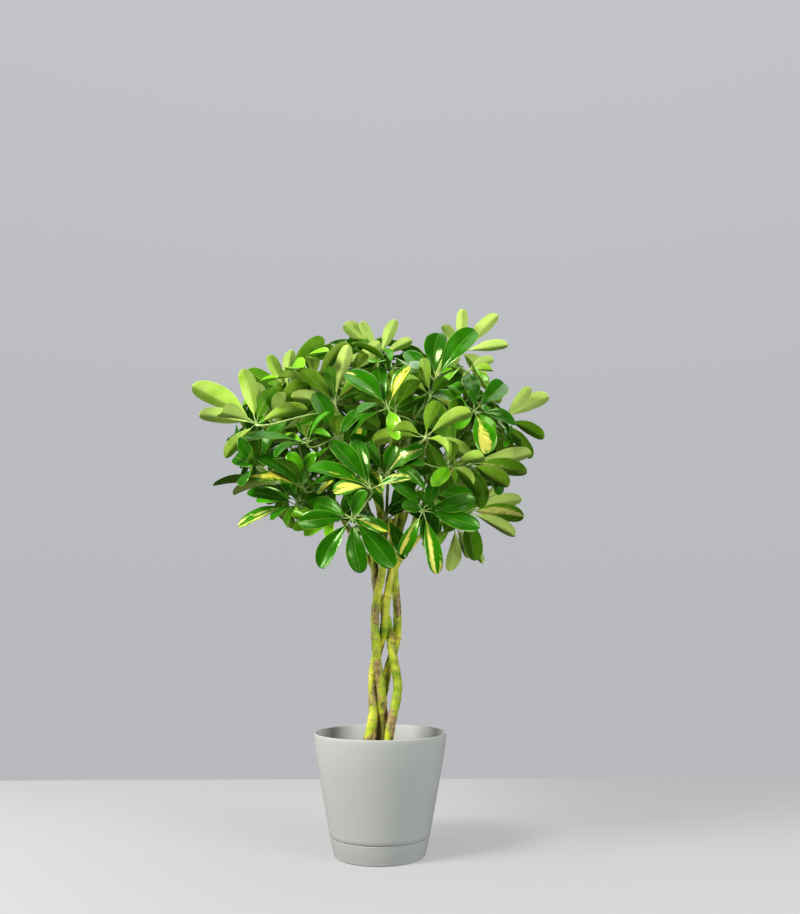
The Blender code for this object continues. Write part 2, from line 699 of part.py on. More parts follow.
def stalk_rings(leaf, out):
    """Four-cornered sections of the leaf stalk, from just under the hub down into its twig."""
    outer = out
    points = list(reversed(leaf.stalk))
    points[0] = points[0] + out * STALK_START_OUT
    rings = []
    for i, point in enumerate(points):
        along = (points[min(i + 1, len(points) - 1)] - points[max(i - 1, 0)]).normalized()
        outer = (outer - along * outer.dot(along)).normalized()
        side = outer.cross(along)
        r = STALK_RADIUS
        rings.append([point + side * r, point + outer * r, point - side * r, point - outer * r])
    return rings


def stalk_side(leaf):
    """The side of the hub on which the stalk leaves, when no leaflet is in the way."""
    away = leaf.stalk[-2] - leaf.hub
    level = away - leaf.facing * away.dot(leaf.facing)
    return level.normalized() if level.length > 1e-6 else leaf.facing.orthogonal().normalized()


def band_faces(rings):
    """Corners and triangles of the bands between four-cornered sections."""
    corners = [corner for ring in rings for corner in ring]
    faces = []
    for i in range(len(rings) - 1):
        faces += blade_band([4 * i + k for k in range(4)], [4 * i + 4 + k for k in range(4)])
    return corners, faces


def whorl_faces(leaf):
    """Corners and triangles of a leaf: its leaflets and its stalk all start from the hub's ring."""
    first = leaf.facing.orthogonal().normalized()
    second = leaf.facing.cross(first)
    arms = sorted((leaf.bearing(each.along), i) for i, each in enumerate(leaf.leaflets))
    wanted = leaf.bearing(leaf.stalk[-2] - leaf.hub)
    sector = stalk_sector([bearing for bearing, i in arms], wanted)
    out = first * math.cos(sector) + second * math.sin(sector)
    arms = sorted(arms + [(sector, -1)])
    corners = [leaf.hub + leaf.facing * HUB_TOP, leaf.hub - leaf.facing * HUB_DEPTH]
    top, bottom = 0, 1
    for i, (bearing, which) in enumerate(arms):
        middle = bearing + ((arms[(i + 1) % len(arms)][0] - bearing) % math.tau) / 2
        corners.append(leaf.hub + (first * math.cos(middle) + second * math.sin(middle)) * HUB_RADIUS)
    faces = []
    for i, (bearing, which) in enumerate(arms):
        near = [2 + i, top, 2 + (i - 1) % len(arms), bottom]
        rings = stalk_rings(leaf, out) if which < 0 else leaf.leaflets[which].sections()
        for ring in rings:
            far = [len(corners) + k for k in range(4)]
            corners += ring
            faces += blade_band(near, far)
            near = far
        if which < 0:
            faces += [(near[0], near[1], near[2]), (near[0], near[2], near[3])]
        else:
            corners.append(leaf.leaflets[which].tip)
            faces += [(near[k], near[(k + 1) % 4], len(corners) - 1) for k in range(4)]
    return corners, faces


def crosses_itself(corners, faces):
    """Whether two triangles that share no corner meet."""
    tree = BVHTree.FromPolygons(corners, faces)
    return any(not set(faces[a]) & set(faces[b]) for a, b in tree.overlap(tree) if a < b)


def whorl_mesh(leaf):
    corners, faces = whorl_faces(leaf)
    mesh = bpy.data.meshes.new(leaf.name)
    mesh.from_pydata([tuple(corner) for corner in corners], [], faces)
    return mesh


def material(name, colour, roughness):
    made = bpy.data.materials.new(name)
    made.use_nodes = True
    shader = made.node_tree.nodes["Principled BSDF"]
    shader.inputs["Base Color"].default_value = (*colour, 1.0)
    shader.inputs["Roughness"].default_value = roughness
    made.diffuse_color = (*colour, 1.0)
    return made


def clear_scene():
    for obj in list(bpy.data.objects):
        bpy.data.objects.remove(obj)


def new_collection(name):
    collection = bpy.data.collections.new(name)
    bpy.context.scene.collection.children.link(collection)
    return collection


def add_object(name, mesh, collection, finish=None):
    obj = bpy.data.objects.new(name, mesh)
    collection.objects.link(obj)
    if finish:
        mesh.materials.clear()
        mesh.materials.append(finish)
    return obj


def turned(name, profile, collection, finish, steps=ROUND_STEPS):
    """A turned shape from a profile of (radius, height) that runs down its outer side."""
    mesh = bpy.data.meshes.new(name)
    mesh.from_pydata([(r, 0.0, z) for r, z in profile], [(i, i + 1) for i in range(len(profile) - 1)], [])
    obj = add_object(name, mesh, collection, finish)
    screw = obj.modifiers.new("Turn", "SCREW")
    screw.steps = screw.render_steps = steps
    screw.use_merge_vertices = True
    screw.merge_threshold = 0.00001
    return obj


def applied(obj):
    """Replaces an object's mesh by its evaluated one and drops its modifiers."""
    graph = bpy.context.evaluated_depsgraph_get()
    mesh = bpy.data.meshes.new_from_object(obj.evaluated_get(graph))
    obj.modifiers.clear()
    obj.data = mesh
    return obj


def smooth_shaded(obj):
    obj.data.shade_smooth()
    obj.data.set_sharp_from_angle(angle=math.radians(35))
    return obj


def tube(name, points, radii, collection, resolution):
    """A closed tube along the points, made from a curve and turned into a mesh."""
    curve = bpy.data.curves.new(name, "CURVE")
    curve.dimensions = "3D"
    curve.bevel_depth = 1.0
    curve.bevel_resolution = resolution
    curve.use_fill_caps = True
    spline = curve.splines.new("POLY")
    spline.points.add(len(points) - 1)
    for knot, point, radius in zip(spline.points, points, radii):
        knot.co = (*point, 1.0)
        knot.radius = radius
    guide = bpy.data.objects.new(name + "_curve", curve)
    collection.objects.link(guide)
    bpy.context.view_layer.update()
    graph = bpy.context.evaluated_depsgraph_get()
    mesh = bpy.data.meshes.new_from_object(guide.evaluated_get(graph))
    bpy.data.objects.remove(guide)
    welded = bmesh.new()
    welded.from_mesh(mesh)
    bmesh.ops.remove_doubles(welded, verts=welded.verts, dist=0.00001)
    welded.to_mesh(mesh)
    welded.free()
    return add_object(name, mesh, collection)


def cut(obj, cutters):
    """Cuts a collection of solids from an object and removes them."""
    boolean = obj.modifiers.new("Cut", "BOOLEAN")
    boolean.operand_type = "COLLECTION"
    boolean.collection = cutters
    boolean.operation = "DIFFERENCE"
    applied(obj)
    remove_collection(cutters)
    return obj


def join(obj, pieces):
    """Joins a collection of solids to an object by one union and removes them."""
    boolean = obj.modifiers.new("Join", "BOOLEAN")
    boolean.operand_type = "COLLECTION"
    boolean.collection = pieces
    boolean.operation = "UNION"
    boolean.solver = "MANIFOLD"
    applied(obj)
    remove_collection(pieces)
    return obj


def remove_collection(collection):
    for obj in list(collection.objects):
        bpy.data.objects.remove(obj)
    bpy.data.collections.remove(collection)


def wall_radius(height):
    """The pot's outer radius at a height above the seam: a straight taper that steepens at the top."""
    radius = SEAM_RADIUS + WALL_TAPER * (height - SEAM_HEIGHT)
    straight_rim = SEAM_RADIUS + WALL_TAPER * (POT_HEIGHT - SEAM_HEIGHT)
    easing = (straight_rim - RIM_RADIUS) / (POT_HEIGHT - FLARE_HEIGHT) ** 2
    return radius - easing * max(0.0, height - FLARE_HEIGHT) ** 2


def pot_profile():
    """Inner floor, inner wall, rounded rim, outer wall, shoulder over the saucer, foot, underside."""
    heights = [POT_HEIGHT - RIM_ROUNDING, *FLARE_RINGS, FLARE_HEIGHT, SEAM_HEIGHT + SEAM_CHAMFER]
    outer = [(wall_radius(z), z) for z in heights]
    inner = [(r - POT_WALL, z) for r, z in reversed(outer)]
    inner[0] = (FOOT_RADIUS - POT_WALL, SEAM_HEIGHT)
    rim = [(RIM_RADIUS - POT_WALL * 0.8, POT_HEIGHT), (RIM_RADIUS - POT_WALL * 0.2, POT_HEIGHT)]
    floor = FOOT_HEIGHT + POT_WALL
    foot = [
        (SEAM_RADIUS - SEAM_CHAMFER, SEAM_HEIGHT + GAP),
        (FOOT_RADIUS, SEAM_HEIGHT + GAP),
        (FOOT_RADIUS - FOOT_TAPER, FOOT_HEIGHT + FOOT_CHAMFER),
        (FOOT_RADIUS - FOOT_TAPER - FOOT_CHAMFER, FOOT_HEIGHT),
        (0.0, FOOT_HEIGHT),
    ]
    return [(0.0, floor), (FOOT_RADIUS - FOOT_TAPER - POT_WALL, floor)] + inner + rim + outer + foot


def build_pot(collection, finish):
    pot = turned("pot", pot_profile(), collection, finish)
    cutters = new_collection("drain_holes")
    for i in range(DRAIN_HOLES):
        turn = math.tau * i / DRAIN_HOLES
        bpy.ops.mesh.primitive_cylinder_add(
            vertices=DRAIN_SIDES, radius=DRAIN_RADIUS, depth=0.02,
            location=(DRAIN_CIRCLE * math.cos(turn), DRAIN_CIRCLE * math.sin(turn), FOOT_HEIGHT))
        hole = bpy.context.object
        for owner in list(hole.users_collection):
            owner.objects.unlink(hole)
        cutters.objects.link(hole)
    return smooth_shaded(cut(pot, cutters))


def build_saucer(collection, finish):
    """A shallow dish: its wall carries on the pot's taper, and a low ring rib carries the pot's foot."""
    lip = SEAM_RADIUS - GAP
    belly = SEAM_RADIUS - SAUCER_BELLY
    corner = SAUCER_CORNER
    rib_top = FOOT_HEIGHT - GAP
    rib_half = SAUCER_RIB_WIDTH / 2
    profile = [
        (0.0, SAUCER_FLOOR),
        (SAUCER_RIB_RADIUS - rib_half - SAUCER_RIB_DRAFT, SAUCER_FLOOR),
        (SAUCER_RIB_RADIUS - rib_half, rib_top),
        (SAUCER_RIB_RADIUS + rib_half, rib_top),
        (SAUCER_RIB_RADIUS + rib_half + SAUCER_RIB_DRAFT, SAUCER_FLOOR),
        (SAUCER_BASE_RADIUS - SAUCER_FILLET, SAUCER_FLOOR),
        (belly - SAUCER_WALL, SAUCER_WALL_FOOT),
        (lip - SAUCER_WALL, SEAM_HEIGHT - SAUCER_LIP_CHAMFER),
        (lip - SAUCER_WALL + SAUCER_LIP_CHAMFER, SEAM_HEIGHT),
        (lip - SAUCER_LIP_CHAMFER, SEAM_HEIGHT),
        (lip, SEAM_HEIGHT - SAUCER_LIP_CHAMFER),
        ((lip + SAUCER_BASE_RADIUS + corner) / 2, SAUCER_BELLY_HEIGHT),
        (SAUCER_BASE_RADIUS + corner, corner),
        (SAUCER_BASE_RADIUS + corner * 0.7, corner * 0.3),
        (SAUCER_BASE_RADIUS, 0.0),
        (0.0, 0.0),
    ]
    return smooth_shaded(applied(turned("saucer", profile, collection, finish)))


def soil_height(x, y):
    """A slightly uneven surface, a little higher round the stems."""
    ripple = math.sin(61 * x + 1.3) * math.sin(53 * y + 0.4) + 0.6 * math.sin(118 * x - 87 * y + 2.1)
    mound = 0.004 * math.exp(-(x * x + y * y) / 0.0016)
    return SOIL_TOP + mound + SOIL_RIPPLE * ripple


def build_soil(collection, finish, stems):
    """Fills the pot up to its top, with a plain hole for each stem."""
    top = wall_radius(SOIL_TOP) - POT_WALL - SOIL_EDGE_GAP
    rings = [(top * i / SOIL_RINGS, SOIL_TOP) for i in range(SOIL_RINGS + 1)]
    floor = FOOT_HEIGHT + POT_WALL + 2 * GAP
    foot = FOOT_RADIUS - POT_WALL - 2 * GAP
    side = [
        (wall_radius(FLARE_HEIGHT) - POT_WALL - 2 * GAP, FLARE_HEIGHT),
        (foot, SEAM_HEIGHT),
        (foot - SOIL_FOOT_STEP, floor),
        (0.0, floor),
    ]
    soil = applied(turned("soil", rings + side, collection, finish, SOIL_STEPS))
    for corner in soil.data.vertices:
        x, y, z = corner.co
        if z > SOIL_TOP - 0.0001:
            fade = min(1.0, (top - math.hypot(x, y)) / SOIL_EDGE_FADE)
            corner.co.z = SOIL_TOP + fade * (soil_height(x, y) - SOIL_TOP)
    holes = new_collection("stem_holes")
    for name, points in stems.items():
        low = points[0] - Vector((0, 0, GAP))
        high = low + Vector((0, 0, STEM_DEPTH + 0.03))
        tube(name + "_hole", [low, high], [STEM_RADIUS_LOW + 2 * GAP] * 2, holes, 2)
    return cut(soil, holes)


def build_stems(collection, finish, stems, shoots):
    """The four stems, each joined with the woody branches at its top."""
    for name, points in stems.items():
        stem = tube(name, points, stem_radii(points), collection, 2)
        branches = new_collection(name + "_branches")
        for shoot in shoots:
            if shoot.stem == name:
                radii = [BRANCH_RADIUS] * len(shoot.woody)
                tube(shoot.name + "_branch", shoot.woody, radii, branches, 1)
        join(stem, branches)
        stem.data.materials.clear()
        stem.data.materials.append(finish)
        smooth_shaded(stem)


def build_shoots(collection, finish, shoots):
    """Each twig joined with its leaf stalks and whorls."""
    for shoot in shoots:
        twig = tube(shoot.name, shoot.green, shoot.radii(), collection, 1)
        pieces = new_collection(shoot.name + "_leaves")
        for leaf in shoot.leaves:
            if len(leaf.leaflets) < 2:
                continue
            add_object(leaf.name, whorl_mesh(leaf), pieces)
        join(twig, pieces)
        twig.data.materials.clear()
        twig.data.materials.append(finish)


def main():
    clear_scene()
    parts = new_collection("potted_schefflera")
    plastic = material("sage_plastic", (0.52, 0.55, 0.50), 0.55)
    earth = material("soil", (0.05, 0.035, 0.025), 0.95)
    bark = material("green_bark", (0.33, 0.36, 0.08), 0.6)
    leaf = material("leaf", (0.05, 0.22, 0.03), 0.3)
    stems = {name: stem_points(route) for name, route in STEM_ROUTES.items()}
    shoots = plan_crown(stems)
    build_saucer(parts, plastic)
    build_pot(parts, plastic)
    build_soil(parts, earth, stems)
    build_stems(parts, bark, stems, shoots)
    build_shoots(parts, leaf, shoots)


main()
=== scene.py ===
"""The looks of the potted schefflera: fine leaves, bark, soil and plastic, and the studio.

Units are metres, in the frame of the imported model. The plan of the stems, twigs and leaves is
the one that the solids were made from, worked out again here from the same values and seed, so
that each fine piece lies where its solid does. Finer whorls then fill the gaps between those.
"""

import json
import math
import random

import bpy
import bmesh
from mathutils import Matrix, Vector, noise
from mathutils.bvhtree import BVHTree

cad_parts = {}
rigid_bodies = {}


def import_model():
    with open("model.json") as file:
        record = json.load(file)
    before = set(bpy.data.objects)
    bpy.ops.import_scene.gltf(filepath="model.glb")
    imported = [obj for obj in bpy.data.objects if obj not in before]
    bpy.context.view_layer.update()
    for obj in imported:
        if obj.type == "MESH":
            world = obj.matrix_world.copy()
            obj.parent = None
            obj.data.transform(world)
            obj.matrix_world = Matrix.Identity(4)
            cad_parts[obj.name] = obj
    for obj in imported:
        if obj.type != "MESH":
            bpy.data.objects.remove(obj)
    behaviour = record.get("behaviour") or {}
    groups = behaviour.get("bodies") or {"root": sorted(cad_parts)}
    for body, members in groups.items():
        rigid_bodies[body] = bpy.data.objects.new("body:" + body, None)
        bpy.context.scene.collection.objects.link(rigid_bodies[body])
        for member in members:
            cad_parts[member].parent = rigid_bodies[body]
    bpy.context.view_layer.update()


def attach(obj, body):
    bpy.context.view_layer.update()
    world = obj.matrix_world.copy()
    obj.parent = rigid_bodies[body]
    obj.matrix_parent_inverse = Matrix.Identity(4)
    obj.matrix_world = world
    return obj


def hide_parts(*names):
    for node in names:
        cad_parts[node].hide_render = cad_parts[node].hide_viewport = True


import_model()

# The gap kept between pieces that touch on the real plant.
GAP = 0.0003

# Pot and saucer.
POT_HEIGHT = 0.176
RIM_RADIUS = 0.102
SEAM_HEIGHT = 0.028
SEAM_RADIUS = 0.0754
WALL_TAPER = 0.195
FLARE_HEIGHT = 0.125
POT_WALL = 0.0024
FOOT_RADIUS = 0.0700
FOOT_HEIGHT = 0.0062
FOOT_TAPER = 0.004
FOOT_CHAMFER = 0.0015
RIM_ROUNDING = 0.0012
SEAM_CHAMFER = 0.0013
SAUCER_WALL = 0.0026
SAUCER_FLOOR = 0.0028
SAUCER_BASE_RADIUS = 0.0665
SAUCER_CORNER = 0.0022
SAUCER_BELLY = 0.0028
SAUCER_WALL_FOOT = 0.010
SAUCER_FILLET = 0.002
SAUCER_LIP_CHAMFER = 0.0005
SAUCER_RIB_RADIUS = 0.0515
SAUCER_RIB_WIDTH = 0.0020
SAUCER_RIB_DRAFT = 0.0005
DRAIN_HOLES = 5
DRAIN_RADIUS = 0.0045
DRAIN_CIRCLE = 0.038
ROUND_STEPS = 36

# Soil.
SOIL_TOP = 0.150
SOIL_RIPPLE = 0.0016
SOIL_EDGE_GAP = 0.0012
SOIL_EDGE_FADE = 0.012
SOIL_FOOT_STEP = 0.0045
STEM_DEPTH = 0.050

# Trunk: four stems, thinner towards the top.
STEM_RADIUS_LOW = 0.0074
STEM_RADIUS_HIGH = 0.0058
STEM_POINTS_PER_SPAN = 1

# Branches and shoots.
SHOOT_COUNT = 18
BRANCH_RADIUS = 0.0036
SHOOT_RADIUS = 0.0026
SHOOT_TIP_RADIUS = 0.0015
SHOOT_SPANS = 6
WOODY_SPANS = 2
TURN_STEP = math.radians(7)
TURN_TRIES = 24
CROWN_CENTRE = Vector((0.0, 0.0, 0.565))
SHOOT_REACH = Vector((0.165, 0.155, 0.180))
GOLDEN_ANGLE = math.radians(137.5)

# Leaves. A leaf is a whorl of leaflets round the end of a leaf stalk.
STALK_RADIUS = 0.0014
STALK_SPANS = 3
STALK_SIDES = 4
STALK_SINK = 0.004
STALK_LENGTH = 0.062
STALK_TRIES = 60
STALK_START_DEPTH = 0.0058
STALK_START_OUT = 0.0017
HUB_RADIUS = 0.0026
HUB_TOP = 0.0012
HUB_DEPTH = 0.0026
LEAFLET_LENGTH = 0.094
LEAFLET_SLENDERNESS = 0.335
LEAFLET_SHARES = (0.78, 1.0)
LEAFLET_COUNTS = (7, 8)
RULED_CUPS = (-12, 30)
FAR_SIDE_CUPS = (0, 25)
RIB_THICKNESS = 0.0014
LEAF_SEED = 149
SIBLING_SPACING = math.radians(11)
MOST_LEAVES_ON_A_SHOOT = 5
RULED_LEAVES = 44
HUB_TRIES = 30
HUB_SPACING = 0.052
HUB_REACH = (0.055, 0.095)
NEAREST_RULED_HUB = -0.075
BLADE_CLEARANCE = 0.0007

# How a leaflet is eased until it is clear: changes of a listed one's lean and width, and of
# a seeded one's cup angle in degrees, with the length that each further change takes off.
EASED_LEANS = (0.0, 0.15, -0.15, 0.3, -0.3, 0.5, -0.5)
EASED_WIDTHS = (1.0, 0.82, 0.68)
EASED_CUPS = (0, 10, -10, 20, -20, 32, -32)
FAR_SIDE_CUP_STEP = -9
FAR_SIDE_LEAST = 0.35
FAR_SIDE_SPACING = math.radians(32)
FAR_SIDE_PLACES = 8
SHORTENING = 0.04

# A blade's sections between hub and tip: shares of its length, and of its full width there.
BLADE_STATIONS = ((0.40, 0.72), (0.78, 1.0))

# The view point of the photograph, so that a leaf can be placed by its pixel there.
VIEW_DISTANCE = 1.35
VIEW_HEIGHT = 0.335
VIEW_PITCH = math.radians(11.43)
VIEW_YAW = math.radians(1.285)
FOCAL_PIXELS = 838.0
FRAME_CENTRE = (400.0, 457.0)

# What the seeded leaves may cover in the photograph's frame, as an ellipse in pixels.
INNER_CROWN_CENTRE = (374.0, 446.0)
INNER_CROWN_REACH = (140.0, 104.0)

# Each stem's centre line, as pixels of the photograph and metres towards the viewer.
STEM_ROUTES = {
    "stem_a": [
        (384, 736, -0.002), (383.2, 716, 0.001), (382.2, 700, 0.009), (380.2, 682, 0.012),
        (377.4, 664, 0.014), (375.6, 640, 0.017), (375.0, 618, 0.017), (377.0, 597, 0.015),
        (381.0, 578, 0.015), (383.6, 560, 0.018), (383.0, 536, 0.026), (380.0, 512, 0.040),
    ],
    "stem_b": [
        (368.6, 737, 0.010), (372.0, 722, 0.008), (373.2, 703, 0.004), (372.6, 686, 0.001),
        (374.0, 666, -0.003), (379.0, 648, -0.002), (383.8, 630, 0.010), (385.4, 610, 0.013),
        (388.6, 588, 0.013), (392.0, 568, 0.012), (396.0, 542, 0.018), (402.0, 516, 0.028),
    ],
    "stem_c": [
        (389.0, 737, 0.012), (392.6, 716, 0.012), (396.4, 700, 0.010), (397.6, 684, 0.010),
        (395.0, 667, 0.011), (392.0, 650, 0.010), (388.8, 627, -0.005), (382.0, 606, -0.008),
        (376.6, 588, -0.006), (374.6, 568, -0.002), (370.0, 542, 0.000), (361.0, 516, 0.004),
    ],
    "stem_d": [
        (375.5, 737, -0.013), (378.0, 716, -0.015), (383.0, 694, -0.013), (387.4, 672, -0.010),
        (392.6, 655, -0.011), (396.8, 637, -0.010), (397.4, 615, -0.005), (396.0, 594, -0.004),
        (394.2, 572, -0.008), (393.0, 546, -0.016), (391.0, 520, -0.032),
    ],
}


# The leaves that the photograph shows: the hub's pixel, how far it stands towards the viewer
# in metres, the way the whorl faces, and its leaflets. A leaflet is the pixel of its tip, how
# much of its spare length leans towards the viewer (1) or away (-1), and its width in metres
# where that isn't the usual one.
LEAVES_SEEN = {
    "low_middle": ((352, 518), 0.160, (-5, 12), [
        (298, 522, 0.0), (315, 502, -0.5), (320, 568, 0.0), (361, 573, 0.2),
        (394, 567, 0.3), (388, 531, 0.5, 0.018), (367, 492, 0.45, 0.022)]),
    "middle": ((371, 489), 0.165, (0, 38), [
        (331, 441, -0.3), (354, 439, -0.5, 0.024), (308, 469, 0.0), (334, 493, 0.6),
        (411, 479, 0.3)]),
    "middle_right": ((385, 476), 0.140, (12, 40), [
        (425, 448, 0.0, 0.034), (424, 466, 0.3, 0.026), (396, 446, 0.3)]),
    "low_right": ((423, 511), 0.140, (10, 18), [
        (402, 506, 0.35), (436, 479, 0.2), (475, 499, 0.0), (480, 527, 0.2),
        (437, 574, 0.2, 0.024), (401, 555, 0.0, 0.020)]),
    "below_right": ((455, 524), -0.060, (150, 5), [
        (468, 558, 0.0), (449, 571, 0.0), (423, 546, 0.2), (483, 563, 0.0)]),
    "right_low": ((466, 511), 0.010, (150, 30), [
        (524, 517, 0.2), (515, 536, 0.4), (522, 499, -0.2), (500, 489, -0.4)]),
    "right_far": ((470, 463), 0.090, (143, 31), [
        (531, 453, 0.1), (527, 473, 0.1), (508, 487, 0.2, 0.036)]),
    "right_middle": ((449, 466), 0.130, (137, 42), [
        (484, 456, 0.6), (451, 440, 0.6, 0.018), (474, 483, 0.4), (432, 486, 0.4)]),
    "right_band": ((474, 411), 0.130, (12, 15), [
        (486, 454, 0.3, 0.036), (467, 392, 0.5), (495, 432, 0.0), (455, 428, 0.4)]),
    "right_upper": ((503, 420), 0.010, (140, 42), [
        (530, 387, 0.3), (549, 396, 0.1), (479, 409, 0.6), (544, 438, 0.0)]),
    "dark_upright": ((435, 381), 0.090, (0, 22), [
        (439, 333, -0.2, 0.036), (464, 393, 0.3), (475, 330, 0.0), (409, 369, 0.2)]),
    "top_right": ((461, 352), 0.050, (170, 45), [
        (463, 309, 0.4), (498, 315, 0.2), (508, 345, 0.3, 0.022), (443, 325, 0.3),
        (437, 376, 0.6)]),
    "top_right_low": ((467, 371), 0.110, (170, 50), [
        (484, 380, 0.8), (492, 370, 0.4), (449, 380, 0.8), (494, 360, -0.2)]),
    "fold_upright": ((430, 395), 0.140, (180, 45), [
        (424, 358, 0.3), (404, 378, 0.2), (446, 378, 0.5)]),
    "top_middle": ((380, 357), 0.030, (180, 45), [
        (344, 324, 0.3, 0.032), (361, 322, -0.1), (396, 320, 0.3), (412, 340, 0.2),
        (385, 372, 0.7)]),
    "upper_middle": ((350, 376), 0.060, (180, 45), [
        (380, 342, 0.2), (366, 353, 0.5)]),
    "upper_left_middle": ((335, 402), 0.110, (-170, 42), [
        (349, 345, 0.2), (328, 366, -0.4), (301, 370, 0.2), (365, 372, 0.3)]),
    "upper_left_high": ((287, 394), 0.030, (-160, 45), [
        (269, 355, 0.3), (292, 350, 0.3), (323, 337, 0.0), (247, 371, 0.0)]),
    "upper_left": ((277, 432), 0.080, (-150, 45), [
        (255, 383, 0.6), (306, 379, 0.4), (282, 392, 0.7), (240, 440, 0.0)]),
    "left_pale": ((256, 424), 0.120, (-165, 35), [
        (192, 386, 0.0), (199, 415, 0.1), (221, 412, 0.6), (243, 369, 0.3)]),
    "left_dark": ((307, 443), 0.140, (-20, 55), [
        (243, 439, 0.1), (275, 457, 0.4), (310, 424, 0.6), (329, 412, 0.2)]),
    "left_far": ((283, 484), 0.060, (-120, 73), [
        (213, 485, 0.1), (234, 495, -0.2), (242, 466, -0.3)]),
    "left_middle": ((305, 489), 0.135, (-30, 50), [
        (250, 477, 0.2), (258, 457, 0.1), (275, 459, 0.3), (289, 452, 0.2), (337, 478, 0.0)]),
    "left_low": ((298, 506), 0.115, (-35, 42), [
        (247, 492, 0.1), (238, 526, 0.2), (272, 520, 0.5)]),
    "heart_left": ((337, 441), 0.130, (0, 48), [
        (338, 415, 0.5, 0.020), (315, 393, -0.2), (308, 432, 0.3), (360, 410, -0.2)]),
    "heart": ((388, 408), 0.150, (-18, 42), [
        (346, 373, 0.1, 0.036), (410, 366, -0.2), (358, 413, 0.5), (398, 440, 0.4)]),
    "heart_right": ((425, 437), 0.160, (178, 50), [
        (391, 432, 0.5), (471, 412, 0.2), (437, 401, 0.3), (449, 452, 0.4)]),
    "behind_low": ((386, 516), 0.095, (0, 40), [
        (405, 559, 0.1), (374, 552, 0.0), (405, 507, 0.3)]),
}


def aim(turn, rise):
    """Unit vector from a turn to the viewer's right and a rise, in degrees; (0, 0) faces the viewer."""
    t, e = math.radians(turn), math.radians(rise)
    return Vector((math.sin(t) * math.cos(e), -math.cos(t) * math.cos(e), math.sin(e)))


def photo_point(px, py, forward):
    """The point on a photograph pixel's line of sight that stands `forward` towards the viewer."""
    ahead = aim(180 - math.degrees(VIEW_YAW), math.degrees(VIEW_PITCH))
    right = Vector((math.cos(VIEW_YAW), -math.sin(VIEW_YAW), 0.0))
    up = right.cross(ahead)
    across = (px - FRAME_CENTRE[0]) / FOCAL_PIXELS
    above = (FRAME_CENTRE[1] - py) / FOCAL_PIXELS
    ray = ahead + across * right + above * up
    return Vector((0.0, -VIEW_DISTANCE, VIEW_HEIGHT)) + ray * ((VIEW_DISTANCE - forward) / ray.y)


def photo_pixel(point):
    """The photograph pixel at which a point is seen."""
    ahead = aim(180 - math.degrees(VIEW_YAW), math.degrees(VIEW_PITCH))
    right = Vector((math.cos(VIEW_YAW), -math.sin(VIEW_YAW), 0.0))
    offset = point - Vector((0.0, -VIEW_DISTANCE, VIEW_HEIGHT))
    scale = FOCAL_PIXELS / offset.dot(ahead)
    across = offset.dot(right) * scale
    above = offset.dot(right.cross(ahead)) * scale
    return FRAME_CENTRE[0] + across, FRAME_CENTRE[1] - above


def bezier(a, b, c, d, steps):
    """Points along a cubic curve from a to d."""
    points = []
    for i in range(steps + 1):
        t = i / steps
        s = 1 - t
        points.append(a * s ** 3 + b * (3 * s * s * t) + c * (3 * s * t * t) + d * t ** 3)
    return points


def smooth_route(knots, steps):
    """Points of a smooth curve through the knots, `steps` of them to a span."""
    padded = [2 * knots[0] - knots[1]] + list(knots) + [2 * knots[-1] - knots[-2]]
    points = []
    for i in range(1, len(padded) - 2):
        before, start, end, after = padded[i - 1:i + 3]
        lead_in, lead_out = (end - before) / 6, (after - start) / 6
        points += bezier(start, start + lead_in, end - lead_out, end, steps)[:-1]
    return points + [knots[-1]]


def tube_faces(points, radii, sides):
    """Corners and triangles of a plain tube, which stands for a stalk when clearances are tested."""
    corners, faces = [], []
    for i, point in enumerate(points):
        along = (points[min(i + 1, len(points) - 1)] - points[max(i - 1, 0)]).normalized()
        side = along.orthogonal().normalized()
        across = along.cross(side)
        for k in range(sides):
            angle = math.tau * k / sides
            corners.append(point + (side * math.cos(angle) + across * math.sin(angle)) * radii[i])
    for i in range(len(points) - 1):
        for k in range(sides):
            a, b = i * sides + k, i * sides + (k + 1) % sides
            faces += [(a, b, b + sides), (a, b + sides, a + sides)]
    return corners, faces


class Space:
    """What is already placed, for keeping each new leaf clear of it."""

    def __init__(self):
        self.items = []

    def add(self, names, corners, faces):
        low = Vector(map(min, *corners))
        high = Vector(map(max, *corners))
        self.items.append((names, low, high, BVHTree.FromPolygons(corners, faces)))

    def is_clear(self, corners, faces, skip=None):
        low = Vector(map(min, *corners))
        high = Vector(map(max, *corners))
        tree = None
        for names, other_low, other_high, other in self.items:
            if skip in names:
                continue
            if any(low[k] > other_high[k] or high[k] < other_low[k] for k in range(3)):
                continue
            tree = tree or BVHTree.FromPolygons(corners, faces)
            if tree.overlap(other):
                return False
        return True


